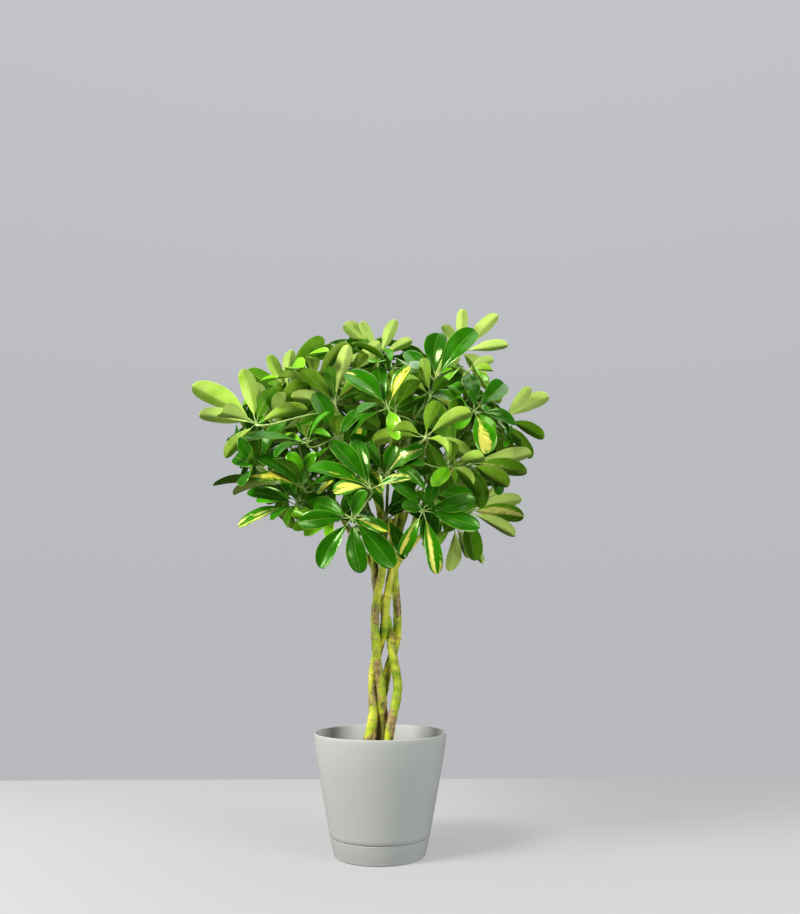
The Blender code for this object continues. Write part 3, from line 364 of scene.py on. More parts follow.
class Leaflet:
    """One blade: from the hub to its tip, arched along its length and folded along its midrib."""

    def __init__(self, hub, tip, facing, width, arch, fold):
        self.hub, self.tip = hub, tip
        chord = tip - hub
        self.length = chord.length
        self.along = chord / self.length
        upper = facing - self.along * facing.dot(self.along)
        self.upper = upper.normalized() if upper.length > 1e-4 else self.along.orthogonal().normalized()
        self.side = self.upper.cross(self.along)
        self.width, self.arch, self.fold = width, arch, fold
        self.listed = None

    def frame(self, s):
        """The midrib's point and the upper direction there, at a share s of the length."""
        point = self.hub + self.along * (self.length * s)
        point += self.upper * (self.arch * self.length * 4 * s * (1 - s))
        slope = 4 * self.arch * (1 - 2 * s)
        return point, (self.upper - self.along * slope).normalized()

    def section(self, s, share, thickness):
        """Left edge, top of rib, right edge and bottom of rib, of a section `share` of the full width."""
        point, upper = self.frame(s)
        half = self.width / 2 * share
        lift = upper * (half * self.fold)
        left = point + self.side * half + lift
        right = point - self.side * half + lift
        return [left, point + upper * (thickness / 2), right, point - upper * (thickness / 2)]

    def sections(self, swell=0.0):
        """The blade's sections, without its root and its tip."""
        grown = 2 * swell / self.width
        thickness = RIB_THICKNESS + 2 * swell
        return [self.section(s, share + grown, thickness) for s, share in BLADE_STATIONS]

    def root(self, swell=0.0):
        """The section that the blade has in the middle of its hub."""
        across = self.side * (HUB_RADIUS + swell)
        top = self.hub + self.upper * (HUB_TOP + swell)
        return [self.hub + across, top, self.hub - across, self.hub - self.upper * (HUB_DEPTH + swell)]

    def blade_faces(self, swell=0.0):
        """Corners and triangles of the whole blade, which stand for it when clearances are tested."""
        rings = [self.root(swell)] + self.sections(swell)
        corners, faces = band_faces(rings)
        corners.append(self.tip + self.along * swell)
        last = 4 * (len(rings) - 1)
        faces += [(last + k, last + (k + 1) % 4, len(corners) - 1) for k in range(4)]
        faces += [(0, 1, 2), (0, 2, 3)]
        return corners, faces


def blade_band(near, far):
    """Triangles between two four-cornered sections, split alike on the upper and lower faces."""
    left, top, right, bottom = near
    far_left, far_top, far_right, far_bottom = far
    return [
        (left, far_top, far_left), (left, top, far_top),
        (top, right, far_top), (right, far_right, far_top),
        (right, bottom, far_bottom), (right, far_bottom, far_right),
        (bottom, left, far_bottom), (left, far_left, far_bottom),
    ]


class Leaf:
    """A whorl: its hub, the way it faces, its stalk's points and its leaflets."""

    def __init__(self, name, hub, facing):
        self.name, self.hub, self.facing = name, hub, facing
        self.stalk = []
        self.leaflets = []

    def bearing(self, direction):
        """A direction's angle round the hub, anticlockwise as the whorl's face is seen."""
        first = self.facing.orthogonal().normalized()
        second = self.facing.cross(first)
        return math.atan2(direction.dot(second), direction.dot(first))


class Shoot:
    """A twig: the woody share of its curve belongs to the stem, the rest carries the leaves."""

    def __init__(self, name, stem, woody, green):
        self.name, self.stem, self.woody, self.green = name, stem, woody, green
        self.leaves = []

    def radii(self):
        last = len(self.green) - 1
        return [SHOOT_RADIUS + (SHOOT_TIP_RADIUS - SHOOT_RADIUS) * i / last for i in range(last + 1)]


def stem_points(route):
    """A stem's smooth centre line, with a straight foot standing in the soil."""
    knots = [photo_point(px, py, forward) for px, py, forward in route]
    foot = Vector((knots[0].x, knots[0].y, SOIL_TOP + 0.004))
    points = smooth_route([foot] + knots, STEM_POINTS_PER_SPAN)
    return [foot - Vector((0, 0, STEM_DEPTH))] + points


def stem_radii(points):
    low, high = points[0].z, points[-1].z
    change = STEM_RADIUS_HIGH - STEM_RADIUS_LOW
    return [STEM_RADIUS_LOW + change * (p.z - low) / (high - low) for p in points]


def shoot_curve(start, turn, level):
    """A twig's curve from its stem's top; level runs from 0 for the lowest twig to 1 for the highest."""
    rise = math.asin(0.12 + 0.86 * level)
    outward = Vector((math.cos(turn) * math.cos(rise), math.sin(turn) * math.cos(rise), math.sin(rise)))
    tip = CROWN_CENTRE + Vector(a * b for a, b in zip(outward, SHOOT_REACH))
    reach = (tip - start).length
    leave = (outward + Vector((0, 0, 0.8))).normalized()
    arrive = (outward + Vector((0, 0, 0.5))).normalized()
    return bezier(start, start + leave * reach * 0.35, tip - arrive * reach * 0.3, tip, SHOOT_SPANS)


def plan_shoots(stems, space):
    """The twigs, each from the stem whose top lies nearest its way out, turned until it is clear."""
    tops = {name: points[-1] for name, points in stems.items()}
    loads = dict.fromkeys(tops, 0)
    most = math.ceil(SHOOT_COUNT / len(tops))
    middle = sum(tops.values(), Vector()) / len(tops)
    shoots = []
    for i in range(SHOOT_COUNT):
        level = (i + 0.5) / SHOOT_COUNT
        turn = i * GOLDEN_ANGLE
        out = Vector((math.cos(turn), math.sin(turn), 0))
        free = [name for name in tops if loads[name] < most]
        stem = max(free, key=lambda name: (tops[name] - middle).normalized().dot(out))
        shoot = clear_shoot(f"shoot_{i + 1:02d}", stem, stems[stem], turn, level, space)
        loads[stem] += 1
        shoots.append(shoot)
    return shoots


def clear_shoot(name, stem, stem_line, turn, level, space):
    """Tries small turns either way until the twig's green part crosses nothing."""
    for step in range(TURN_TRIES):
        offset = TURN_STEP * ((step + 1) // 2) * (1 if step % 2 else -1)
        start = stem_line[-2 - round(1 - level)]
        curve = shoot_curve(start, turn + offset, level)
        gap = (curve[WOODY_SPANS + 1] - curve[WOODY_SPANS]).normalized() * GAP
        green = [curve[WOODY_SPANS] + gap] + curve[WOODY_SPANS + 1:]
        shoot = Shoot(name, stem, curve[:WOODY_SPANS + 1], green)
        green = tube_faces(shoot.green[1:], [SHOOT_RADIUS + 0.001] * (len(shoot.green) - 1), 6)
        woody = tube_faces(shoot.woody, [BRANCH_RADIUS + 0.001] * len(shoot.woody), 6)
        if space.is_clear(*green) and space.is_clear(*woody, skip=stem):
            break
    space.add((name,), *tube_faces(shoot.green, shoot.radii(), 6))
    space.add((stem,), *tube_faces(shoot.woody, [BRANCH_RADIUS] * len(shoot.woody), 6))
    return shoot


def stalk_curve(shoot, index, hub, facing, steps=STALK_SPANS):
    """A leaf stalk from a point of its twig to the underside of the hub."""
    along = (shoot.green[index] - shoot.green[index - 1]).normalized()
    start = shoot.green[index] - along * STALK_SINK
    reach = (hub - start).length
    outward = ((hub - start).normalized() + along * 0.5).normalized()
    arrive = (facing * 0.6 + (hub - start).normalized()).normalized()
    end = hub - facing * STALK_START_DEPTH
    return bezier(start, start + outward * reach * 0.35, end - arrive * reach * 0.3, end, steps)


def join_leaf(leaf, shoots, space, most):
    """Picks the twig and the point on it that give the leaf a short clear stalk."""
    choices = []
    for shoot in shoots:
        if len(shoot.leaves) >= most:
            continue
        for index in range(2, len(shoot.green)):
            way = leaf.hub - shoot.green[index]
            crowd = 0.006 * len(shoot.leaves)
            bend = 0.04 * (1 - way.normalized().dot(leaf.facing))
            choices.append((abs(way.length - STALK_LENGTH) + bend + crowd, shoot.name, index, shoot))
    choices.sort(key=lambda choice: choice[:3])
    for cost, name, index, shoot in choices[:STALK_TRIES]:
        if hang_leaf(leaf, shoot, index, space):
            return True
    return False


def hang_leaf(leaf, shoot, index, space):
    """Gives a leaf its stalk from a point of a twig, if the stalk bends and passes cleanly."""
    leaf.stalk = stalk_curve(shoot, index, leaf.hub, leaf.facing)
    leaf.origin = (shoot, index)
    points = leaf.stalk + [leaf.hub + leaf.facing * HUB_TOP]
    radii = [STALK_RADIUS] * STALK_SPANS + [STALK_RADIUS + STALK_START_OUT, HUB_RADIUS]
    swollen = [radius + BLADE_CLEARANCE for radius in radii]
    if not space.is_clear(*tube_faces(points, swollen, STALK_SIDES), skip=shoot.name):
        return False
    if crosses_itself(*band_faces(stalk_rings(leaf, stalk_side(leaf)))):
        return False
    shoot.leaves.append(leaf)
    space.add((shoot.name, leaf.name), *tube_faces(points, radii, STALK_SIDES))
    return True


def spare_lean(distance, length):
    return math.sqrt(max(0.0, length * length - distance * distance))


def seen_leaflet(leaf, spec, lean, forward, rng):
    """A leaflet whose tip is seen at a pixel of the photograph."""
    px, py = spec[:2]
    flat = photo_point(px, py, forward)
    spare = spare_lean((flat - leaf.hub).length, LEAFLET_LENGTH)
    tip = photo_point(px, py, forward + lean * spare)
    length = (tip - leaf.hub).length
    width = spec[3] if len(spec) > 3 else LEAFLET_SLENDERNESS * max(length, 0.6 * LEAFLET_LENGTH)
    return Leaflet(leaf.hub, tip, leaf.facing, width, rng.uniform(0.05, 0.10), rng.uniform(0.22, 0.42))


def ruled_leaflet(leaf, bearing, cup, length, rng):
    """A leaflet at a bearing round the hub, raised from the whorl's plane by the cup angle."""
    first = leaf.facing.orthogonal().normalized()
    second = leaf.facing.cross(first)
    out = first * math.cos(bearing) + second * math.sin(bearing)
    tip = leaf.hub + (out * math.cos(cup) + leaf.facing * math.sin(cup)) * length
    width = LEAFLET_SLENDERNESS * length * rng.uniform(0.92, 1.08)
    return Leaflet(leaf.hub, tip, leaf.facing, width, rng.uniform(0.05, 0.11), rng.uniform(0.2, 0.45))


def is_apart(leaf, leaflet, least=SIBLING_SPACING):
    """Whether a leaflet's bearing keeps clear of those already round the hub."""
    bearing = leaf.bearing(leaflet.along)
    for other in leaf.leaflets:
        turn = (bearing - leaf.bearing(other.along) + math.pi) % math.tau - math.pi
        if abs(turn) < least:
            return False
    return True


def place_leaflet(leaf, variants, space):
    """Adds the first of a leaflet's variants that touches nothing placed before it."""
    for leaflet in variants:
        if not is_apart(leaf, leaflet):
            continue
        if not space.is_clear(*leaflet.blade_faces(BLADE_CLEARANCE), skip=leaf.name):
            continue
        leaf.leaflets.append(leaflet)
        if not crosses_itself(*whorl_faces(leaf)):
            space.add((leaf.name,), *leaflet.blade_faces())
            return
        leaf.leaflets.pop()


def seen_variants(leaf, spec, forward, rng):
    """A listed leaflet, then slimmer ones, each also nearer or farther than the listed lean."""
    for share in EASED_WIDTHS:
        for ease in EASED_LEANS:
            leaflet = seen_leaflet(leaf, spec, spec[2] + ease, forward, rng)
            leaflet.width *= share
            yield leaflet


def far_side_variants(leaf, bearing, rng):
    """A leaflet that points away from the viewer, then ones with a flatter cup."""
    cup = math.radians(rng.uniform(*FAR_SIDE_CUPS))
    length = LEAFLET_LENGTH * rng.uniform(*LEAFLET_SHARES)
    for step in range(len(EASED_CUPS)):
        leaflet = ruled_leaflet(leaf, bearing, cup + math.radians(FAR_SIDE_CUP_STEP * step), length, rng)
        if leaflet.along.y > FAR_SIDE_LEAST and is_apart(leaf, leaflet, FAR_SIDE_SPACING):
            yield leaflet


def within_inner_crown(point):
    """Whether a point is seen inside the part of the crown that the seeded leaves may cover."""
    px, py = photo_pixel(point)
    across = (px - INNER_CROWN_CENTRE[0]) / INNER_CROWN_REACH[0]
    above = (py - INNER_CROWN_CENTRE[1]) / INNER_CROWN_REACH[1]
    return across * across + above * above < 1


def ruled_variants(leaf, bearing, cup, rng):
    """A seeded leaflet, then shorter ones with another cup."""
    length = LEAFLET_LENGTH * rng.uniform(*LEAFLET_SHARES)
    for step, ease in enumerate(EASED_CUPS):
        shorter = length * (1 - SHORTENING * step)
        leaflet = ruled_leaflet(leaf, bearing, cup + math.radians(ease), shorter, rng)
        if within_inner_crown(leaflet.tip):
            yield leaflet


def grow_seen_leaf(leaf, specs, forward, space, rng):
    """Places the leaflets that the photograph shows."""
    for number, spec in enumerate(specs):
        before = len(leaf.leaflets)
        place_leaflet(leaf, seen_variants(leaf, spec, forward, rng), space)
        if len(leaf.leaflets) > before:
            leaf.leaflets[-1].listed = number


def grow_far_side(leaf, space, rng):
    """Fills the part of a listed whorl that the photograph doesn't show."""
    for step in range(FAR_SIDE_PLACES):
        bearing = math.tau * step / FAR_SIDE_PLACES + rng.uniform(-0.1, 0.1)
        place_leaflet(leaf, far_side_variants(leaf, bearing, rng), space)


def grow_ruled_leaf(leaf, space, rng):
    """Seven or eight leaflets evenly round a seeded leaf's hub."""
    count = rng.choice(LEAFLET_COUNTS)
    start = rng.uniform(0, math.tau)
    cup = math.radians(rng.uniform(*RULED_CUPS))
    for step in range(count):
        bearing = start + math.tau * step / count + rng.uniform(-0.09, 0.09)
        place_leaflet(leaf, ruled_variants(leaf, bearing, cup, rng), space)


def ruled_hub(shoot, rng):
    """A seeded place for a leaf on a twig: how far along, and its hub and facing."""
    index = rng.randint(3, len(shoot.green) - 1)
    start = shoot.green[index]
    along = (shoot.green[index] - shoot.green[index - 1]).normalized()
    turn = rng.uniform(0, math.tau)
    first = along.orthogonal().normalized()
    spread = first * math.cos(turn) + along.cross(first) * math.sin(turn)
    outward = (start - CROWN_CENTRE).normalized()
    way = (spread * 0.9 + outward * 0.9 + along * 0.5 + Vector((0, 0, 0.15))).normalized()
    hub = start + way * rng.uniform(*HUB_REACH)
    facing = ((hub - CROWN_CENTRE).normalized() + way * 0.4 + Vector((0, 0, 0.45))).normalized()
    return index, hub, facing


def plan_ruled_leaves(shoots, leaves, space, rng):
    """Seeded leaves on every twig, where there is room, behind those that the photograph shows."""
    wanted = len(leaves) + RULED_LEAVES
    for count in range(MOST_LEAVES_ON_A_SHOOT):
        for shoot in shoots:
            if len(shoot.leaves) > count or len(leaves) >= wanted:
                continue
            for attempt in range(HUB_TRIES):
                index, hub, facing = ruled_hub(shoot, rng)
                if hub.y < NEAREST_RULED_HUB or not within_inner_crown(hub):
                    continue
                if any((hub - other.hub).length < HUB_SPACING for other in leaves):
                    continue
                leaf = Leaf(f"leaf_{len(leaves) + 1}", hub, facing)
                if hang_leaf(leaf, shoot, index, space):
                    leaves.append(leaf)
                    break


def plan_crown(stems):
    """Every twig and leaf of the crown, each clear of the others."""
    rng = random.Random(LEAF_SEED)
    space = Space()
    for name, points in stems.items():
        space.add((name,), *tube_faces(points, stem_radii(points), 8))
    shoots = plan_shoots(stems, space)
    leaves = []
    for name, (pixel, forward, facing, specs) in LEAVES_SEEN.items():
        leaf = Leaf(name, photo_point(*pixel, forward), aim(*facing))
        if join_leaf(leaf, shoots, space, MOST_LEAVES_ON_A_SHOOT):
            leaves.append(leaf)
    plan_ruled_leaves(shoots, leaves, space, rng)
    for leaf in leaves:
        if leaf.name in LEAVES_SEEN:
            pixel, forward, facing, specs = LEAVES_SEEN[leaf.name]
            grow_seen_leaf(leaf, specs, forward, space, rng)
    for leaf in leaves:
        if leaf.name in LEAVES_SEEN:
            grow_far_side(leaf, space, rng)
        else:
            grow_ruled_leaf(leaf, space, rng)
    return shoots, leaves, space


def stalk_sector(bearings, wanted):
    """The middle of a wide gap between leaflets, near the bearing that the stalk comes from."""
    best, best_cost = wanted, math.inf
    for i, bearing in enumerate(bearings):
        gap = (bearings[(i + 1) % len(bearings)] - bearing) % math.tau or math.tau
        middle = bearing + gap / 2
        off = abs((middle - wanted + math.pi) % math.tau - math.pi)
        cost = off + (2.0 if gap < math.radians(34) else 0.0)
        if cost < best_cost:
            best, best_cost = middle, cost
    return (best + math.pi) % math.tau - math.pi


def stalk_rings(leaf, out):
    """Four-cornered sections of the leaf stalk, from just under the hub down into its twig."""
    outer = out
    points = list(reversed(leaf.stalk))
    points[0] = points[0] + out * STALK_START_OUT
    rings = []
    for i, point in enumerate(points):
        along = (points[min(i + 1, len(points) - 1)] - points[max(i - 1, 0)]).normalized()
        outer = (outer - along * outer.dot(along)).normalized()
        side = outer.cross(along)
        r = STALK_RADIUS
        rings.append([point + side * r, point + outer * r, point - side * r, point - outer * r])
    return rings


def stalk_side(leaf):
    """The side of the hub on which the stalk leaves, when no leaflet is in the way."""
    away = leaf.stalk[-2] - leaf.hub
    level = away - leaf.facing * away.dot(leaf.facing)
    return level.normalized() if level.length > 1e-6 else leaf.facing.orthogonal().normalized()


def band_faces(rings):
    """Corners and triangles of the bands between four-cornered sections."""
    corners = [corner for ring in rings for corner in ring]
    faces = []
    for i in range(len(rings) - 1):
        faces += blade_band([4 * i + k for k in range(4)], [4 * i + 4 + k for k in range(4)])
    return corners, faces


def whorl_faces(leaf):
    """Corners and triangles of a leaf: its leaflets and its stalk all start from the hub's ring."""
    first = leaf.facing.orthogonal().normalized()
    second = leaf.facing.cross(first)
    arms = sorted((leaf.bearing(each.along), i) for i, each in enumerate(leaf.leaflets))
    wanted = leaf.bearing(leaf.stalk[-2] - leaf.hub)
    sector = stalk_sector([bearing for bearing, i in arms], wanted)
    out = first * math.cos(sector) + second * math.sin(sector)
    arms = sorted(arms + [(sector, -1)])
    corners = [leaf.hub + leaf.facing * HUB_TOP, leaf.hub - leaf.facing * HUB_DEPTH]
    top, bottom = 0, 1
    for i, (bearing, which) in enumerate(arms):
        middle = bearing + ((arms[(i + 1) % len(arms)][0] - bearing) % math.tau) / 2
        corners.append(leaf.hub + (first * math.cos(middle) + second * math.sin(middle)) * HUB_RADIUS)
    faces = []
    for i, (bearing, which) in enumerate(arms):
        near = [2 + i, top, 2 + (i - 1) % len(arms), bottom]
        rings = stalk_rings(leaf, out) if which < 0 else leaf.leaflets[which].sections()
        for ring in rings:
            far = [len(corners) + k for k in range(4)]
            corners += ring
            faces += blade_band(near, far)
            near = far
        if which < 0:
            faces += [(near[0], near[1], near[2]), (near[0], near[2], near[3])]
        else:
            corners.append(leaf.leaflets[which].tip)
            faces += [(near[k], near[(k + 1) % 4], len(corners) - 1) for k in range(4)]
    return corners, faces


def crosses_itself(corners, faces):
    """Whether two triangles that share no corner meet."""
    tree = BVHTree.FromPolygons(corners, faces)
    return any(not set(faces[a]) & set(faces[b]) for a, b in tree.overlap(tree) if a < b)


def new_collection(name):
    collection = bpy.data.collections.new(name)
    bpy.context.scene.collection.children.link(collection)
    return collection


def add_object(name, mesh, collection, finish=None):
    obj = bpy.data.objects.new(name, mesh)
    collection.objects.link(obj)
    if finish:
        mesh.materials.clear()
        mesh.materials.append(finish)
    return obj


def turned(name, profile, collection, finish, steps=ROUND_STEPS):
    """A turned shape from a profile of (radius, height) that runs down its outer side."""
    mesh = bpy.data.meshes.new(name)
    mesh.from_pydata([(r, 0.0, z) for r, z in profile], [(i, i + 1) for i in range(len(profile) - 1)], [])
    obj = add_object(name, mesh, collection, finish)
    screw = obj.modifiers.new("Turn", "SCREW")
    screw.steps = screw.render_steps = steps
    screw.use_merge_vertices = True
    screw.merge_threshold = 0.00001
    return obj


def applied(obj):
    """Replaces an object's mesh by its evaluated one and drops its modifiers."""
    graph = bpy.context.evaluated_depsgraph_get()
    mesh = bpy.data.meshes.new_from_object(obj.evaluated_get(graph))
    obj.modifiers.clear()
    obj.data = mesh
    return obj


def tube(name, points, radii, collection, resolution):
    """A closed tube along the points, made from a curve and turned into a mesh."""
    curve = bpy.data.curves.new(name, "CURVE")
    curve.dimensions = "3D"
    curve.bevel_depth = 1.0
    curve.bevel_resolution = resolution
    curve.use_fill_caps = True
    spline = curve.splines.new("POLY")
    spline.points.add(len(points) - 1)
    for knot, point, radius in zip(spline.points, points, radii):
        knot.co = (*point, 1.0)
        knot.radius = radius
    guide = bpy.data.objects.new(name + "_curve", curve)
    collection.objects.link(guide)
    bpy.context.view_layer.update()
    graph = bpy.context.evaluated_depsgraph_get()
    mesh = bpy.data.meshes.new_from_object(guide.evaluated_get(graph))
    bpy.data.objects.remove(guide)
    welded = bmesh.new()
    welded.from_mesh(mesh)
    bmesh.ops.remove_doubles(welded, verts=welded.verts, dist=0.00001)
    welded.to_mesh(mesh)
    welded.free()
    return add_object(name, mesh, collection)


def cut(obj, cutters):
    """Cuts a collection of solids from an object and removes them."""
    boolean = obj.modifiers.new("Cut", "BOOLEAN")
    boolean.operand_type = "COLLECTION"
    boolean.collection = cutters
    boolean.operation = "DIFFERENCE"
    applied(obj)
    remove_collection(cutters)
    return obj


def remove_collection(collection):
    for obj in list(collection.objects):
        bpy.data.objects.remove(obj)
    bpy.data.collections.remove(collection)


def wall_radius(height):
    """The pot's outer radius at a height above the seam: a straight taper that steepens at the top."""
    radius = SEAM_RADIUS + WALL_TAPER * (height - SEAM_HEIGHT)
    straight_rim = SEAM_RADIUS + WALL_TAPER * (POT_HEIGHT - SEAM_HEIGHT)
    easing = (straight_rim - RIM_RADIUS) / (POT_HEIGHT - FLARE_HEIGHT) ** 2
    return radius - easing * max(0.0, height - FLARE_HEIGHT) ** 2


def soil_height(x, y):
    """A slightly uneven surface, a little higher round the stems."""
    ripple = math.sin(61 * x + 1.3) * math.sin(53 * y + 0.4) + 0.6 * math.sin(118 * x - 87 * y + 2.1)
    mound = 0.004 * math.exp(-(x * x + y * y) / 0.0016)
    return SOIL_TOP + mound + SOIL_RIPPLE * ripple


# Fine leaflets: points along and across a blade, and its form.
BLADE_STEPS = 15
BLADE_COLUMNS = (-1.0, -0.90, -0.66, -0.36, -0.08, 0.08, 0.36, 0.66, 0.90, 1.0)
BLADE_THICKNESS = 0.0006
BLADE_FULLNESS = 1.13
WIDEST = 0.61
PETIOLULE = 0.13
PETIOLULE_RADIUS = 0.00085
RIB_HEIGHT = 0.0006
FINE_STALK_STEPS = 12
FINE_STALK_SIDES = 8
PULVINUS = 0.45
HUB_SWELLING = 0.0023

# Leaflets and leaves that only the fine pieces have.
FILL_SEED = 12
FILL_GAP = math.radians(62)
FINE_SPACING = math.radians(26)
MOST_FILL = 4
LEAST_AWAY = 0.2
FINE_LEAVES = 30
FINE_HUB_SPACING = 0.040
MOST_FINE_LEAVES_ON_A_SHOOT = 8

# Whorls that close the gaps between the listed leaves: the hub's pixel, metres towards the
# viewer, and the turn and rise of the way it faces.
FILL_PLACES = (
    (372, 508, 0.105, 0, 25), (404, 500, 0.100, 10, 25), (414, 528, 0.060, 20, 10),
    (348, 498, 0.110, -20, 30), (430, 496, 0.080, 25, 20), (396, 530, 0.040, 0, -5),
    (368, 532, 0.060, -20, 0), (336, 520, 0.080, -30, 10), (392, 470, 0.110, 0, 35),
    (352, 462, 0.110, -10, 35), (410, 450, 0.110, 10, 40), (440, 520, 0.050, 40, 10),
    (300, 425, 0.110, 180, 75), (330, 435, 0.125, 180, 80), (365, 415, 0.120, 180, 78),
    (395, 410, 0.130, 170, 75), (425, 410, 0.125, 180, 75), (455, 415, 0.110, 180, 75),
    (315, 385, 0.080, 180, 70), (405, 372, 0.080, 180, 70), (440, 365, 0.080, 170, 72),
    (262, 470, 0.090, -40, 20), (285, 480, 0.110, -30, 25), (300, 500, 0.100, -30, 10),
    (480, 380, 0.080, 160, 70), (345, 395, 0.100, 180, 75), (380, 435, 0.140, 180, 80),
    (420, 440, 0.140, 180, 80), (455, 450, 0.120, 170, 75), (310, 455, 0.120, 180, 80),
)
UPRIGHT_RISE = 60
UPRIGHT_CUPS = (30, 52)

# Fine stems and twigs.
STEM_SIDES = 22
STEM_STEP = 0.0016
TWIG_SIDES = 12
TWIG_STEP = 0.0015
SCAR_SPACING = (0.015, 0.029)
SCAR_WIDTH = 0.0012
SCAR_HEIGHT = 0.0006
NODE_SWELL = 0.06

# Fine pot and saucer.
FINE_ROUND_STEPS = 144

# Fine soil.
SOIL_COLUMNS = 110
SOIL_ROWS = 44
CRUMBS = 420
CRUMB_SIZES = (0.0010, 0.0042)

# What a leaflet looks like: its age from 0 (dark) to 1 (pale lime), how much of it is yellow
# (below 0 for none), and whether that is yellow (0) or cream (1).
LOOKS = {
    "d": (0.05, -1.0, 0.0),
    "m": (0.42, -1.0, 0.0),
    "l": (0.75, -1.0, 0.0),
    "p": (1.00, -1.0, 0.0),
    "y": (0.12, 0.42, 0.15),
    "Y": (0.30, 0.52, 0.30),
    "c": (0.10, 0.30, 0.80),
    "e": (0.10, 0.24, 0.10),
    "h": (0.15, 0.54, 0.60),
}

# The looks of each listed leaf's leaflets, in the order of their list.
LEAFLET_LOOKS = {
    "low_middle": "dddddeddd", "middle": "ddyYh", "middle_right": "cdd", "low_right": "ddddYY",
    "below_right": "ppmp", "right_low": "Yppp", "right_far": "pYm", "right_middle": "llll",
    "right_band": "Yemm", "right_upper": "ppmm", "dark_upright": "dmdy", "top_right": "ppppp",
    "top_right_low": "lllp", "fold_upright": "lld", "top_middle": "ppppd", "upper_middle": "pl",
    "upper_left_middle": "pdmy", "upper_left_high": "lpmd", "upper_left": "pmpl", "left_pale": "lppl",
    "left_dark": "ddlm", "left_far": "mpp", "left_middle": "yddmd", "left_low": "dhd",
    "heart_left": "mdmd", "heart": "cydl", "heart_right": "llml", "behind_low": "ddd",
}
UNLISTED_LOOKS = "ddddddddmmmmmmllley"

# Material slots of a leafy shoot.
UPPER, UNDER, STALK, TWIG = range(4)

# Colours, as linear light.
UPPER_GREENS = ((0.010, 0.085, 0.0005), (0.026, 0.200, 0.001), (0.110, 0.390, 0.004), (0.270, 0.550, 0.025))
UPPER_YELLOWS = ((0.62, 0.58, 0.030), (0.74, 0.73, 0.26))
UPPER_VEINS = (0.30, 0.48, 0.07)
# The undersides' greens: partly their own paler tone, partly painted light shining through the thin blade.
UNDER_GREENS_AND_PAINTED_GLOW = ((0.050, 0.195, 0.002), (0.110, 0.290, 0.005), (0.235, 0.410, 0.025), (0.410, 0.560, 0.115))
UNDER_YELLOWS = ((0.60, 0.58, 0.09), (0.70, 0.68, 0.25))
UNDER_VEINS = (0.52, 0.66, 0.20)
BARK_GREENS = ((0.110, 0.240, 0.004), (0.350, 0.430, 0.012), (0.700, 0.640, 0.060))
TWIG_GREENS = ((0.10, 0.20, 0.03), (0.18, 0.30, 0.04), (0.28, 0.38, 0.06))
BARK_BROWN = (0.130, 0.085, 0.028)
SCAR_COLOUR = (0.300, 0.200, 0.085)
FLOOR_COLOUR = (0.20, 0.20, 0.20)
FLOOR_GLOW = (0.342, 0.342, 0.353)

GLOSS_TINT = (0.65, 1.0, 0.35)

# What lights the plant from all sides, apart from the lamps.
AMBIENT = (0.085, 0.087, 0.088)

# The floor ends where the photograph's wall starts. The wall's tone by height of the sight line, lighter
# higher up: painted light on the wall.
FLOOR_END = 0.633
WALL_TONES_WITH_PAINTED_LIGHT = ((0.0, (0.485, 0.490, 0.512)), (0.25, (0.495, 0.505, 0.530)), (0.65, (0.545, 0.552, 0.580)))
FRAME_HEIGHT = 914.0

# Lamps: name, place, what it points at, size, power and colour.
LAMPS = (
    ("key", (-1.50, -1.20, 1.95), (0.0, 0.0, 0.42), 0.8, 92.0, (1.0, 0.985, 0.955)),
    ("side", (-1.80, -0.55, 0.55), (0.0, 0.0, 0.25), 0.8, 26.0, (1.0, 0.99, 0.97)),
    ("fill", (1.60, -1.45, 0.75), (0.0, 0.0, 0.40), 1.2, 46.0, (0.98, 0.99, 1.0)),
    ("top", (0.20, 0.30, 2.10), (0.0, 0.0, 0.50), 2.0, 22.0, (1.0, 1.0, 1.0)),
)


class Shell:
    """A mesh in the making: corners with a place and a tone, and faces with a material slot."""

    def __init__(self):
        self.corners, self.places, self.tones = [], [], []
        self.faces, self.slots = [], []

    def point(self, corner, place, tone):
        self.corners.append(corner)
        self.places.append(place)
        self.tones.append(tone)
        return len(self.corners) - 1

    def face(self, corners, slot):
        self.faces.append(corners)
        self.slots.append(slot)

    def strip(self, near, far, slot):
        """Quads between two closed rings of corners."""
        count = len(near)
        for k in range(count):
            self.face((near[k], near[(k + 1) % count], far[(k + 1) % count], far[k]), slot)

    def tube(self, points, radii, sides, slot, place, tone):
        """A closed round tube along the points."""
        rings = []
        side = (points[1] - points[0]).normalized().orthogonal().normalized()
        for i, point in enumerate(points):
            along = (points[min(i + 1, len(points) - 1)] - points[max(i - 1, 0)]).normalized()
            side = (side - along * side.dot(along)).normalized()
            across = along.cross(side)
            ring = []
            for k in range(sides):
                angle = math.tau * k / sides
                out = side * math.cos(angle) + across * math.sin(angle)
                where = (math.cos(angle), i / (len(points) - 1), place)
                ring.append(self.point(point + out * radii[i], where, tone))
            rings.append(ring)
        for near, far in zip(rings, rings[1:]):
            self.strip(near, far, slot)
        self.face(tuple(reversed(rings[0])), slot)
        self.face(tuple(rings[-1]), slot)

    def made(self, name, materials, replaced, slot):
        """The finished piece, riding on the plant's body and standing for its solid."""
        mesh = bpy.data.meshes.new(name)
        mesh.from_pydata(self.corners, [], self.faces)
        for each in materials:
            mesh.materials.append(each)
        mesh.polygons.foreach_set("material_index", self.slots)
        for title, values in (("place", self.places), ("tone", self.tones)):
            layer = mesh.attributes.new(title, "FLOAT_VECTOR", "POINT")
            layer.data.foreach_set("vector", [number for value in values for number in value])
        mesh.shade_smooth()
        mesh.set_sharp_from_angle(angle=math.radians(60))
        return placed(name, mesh, replaced, slot)


def placed(name, mesh, replaced, slot):
    """An object of the mesh that stands for a solid. Its slot is not used."""
    obj = bpy.data.objects.new(name, mesh)
    bpy.context.scene.collection.objects.link(obj)
    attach(obj, "root")
    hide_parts(replaced)
    return obj


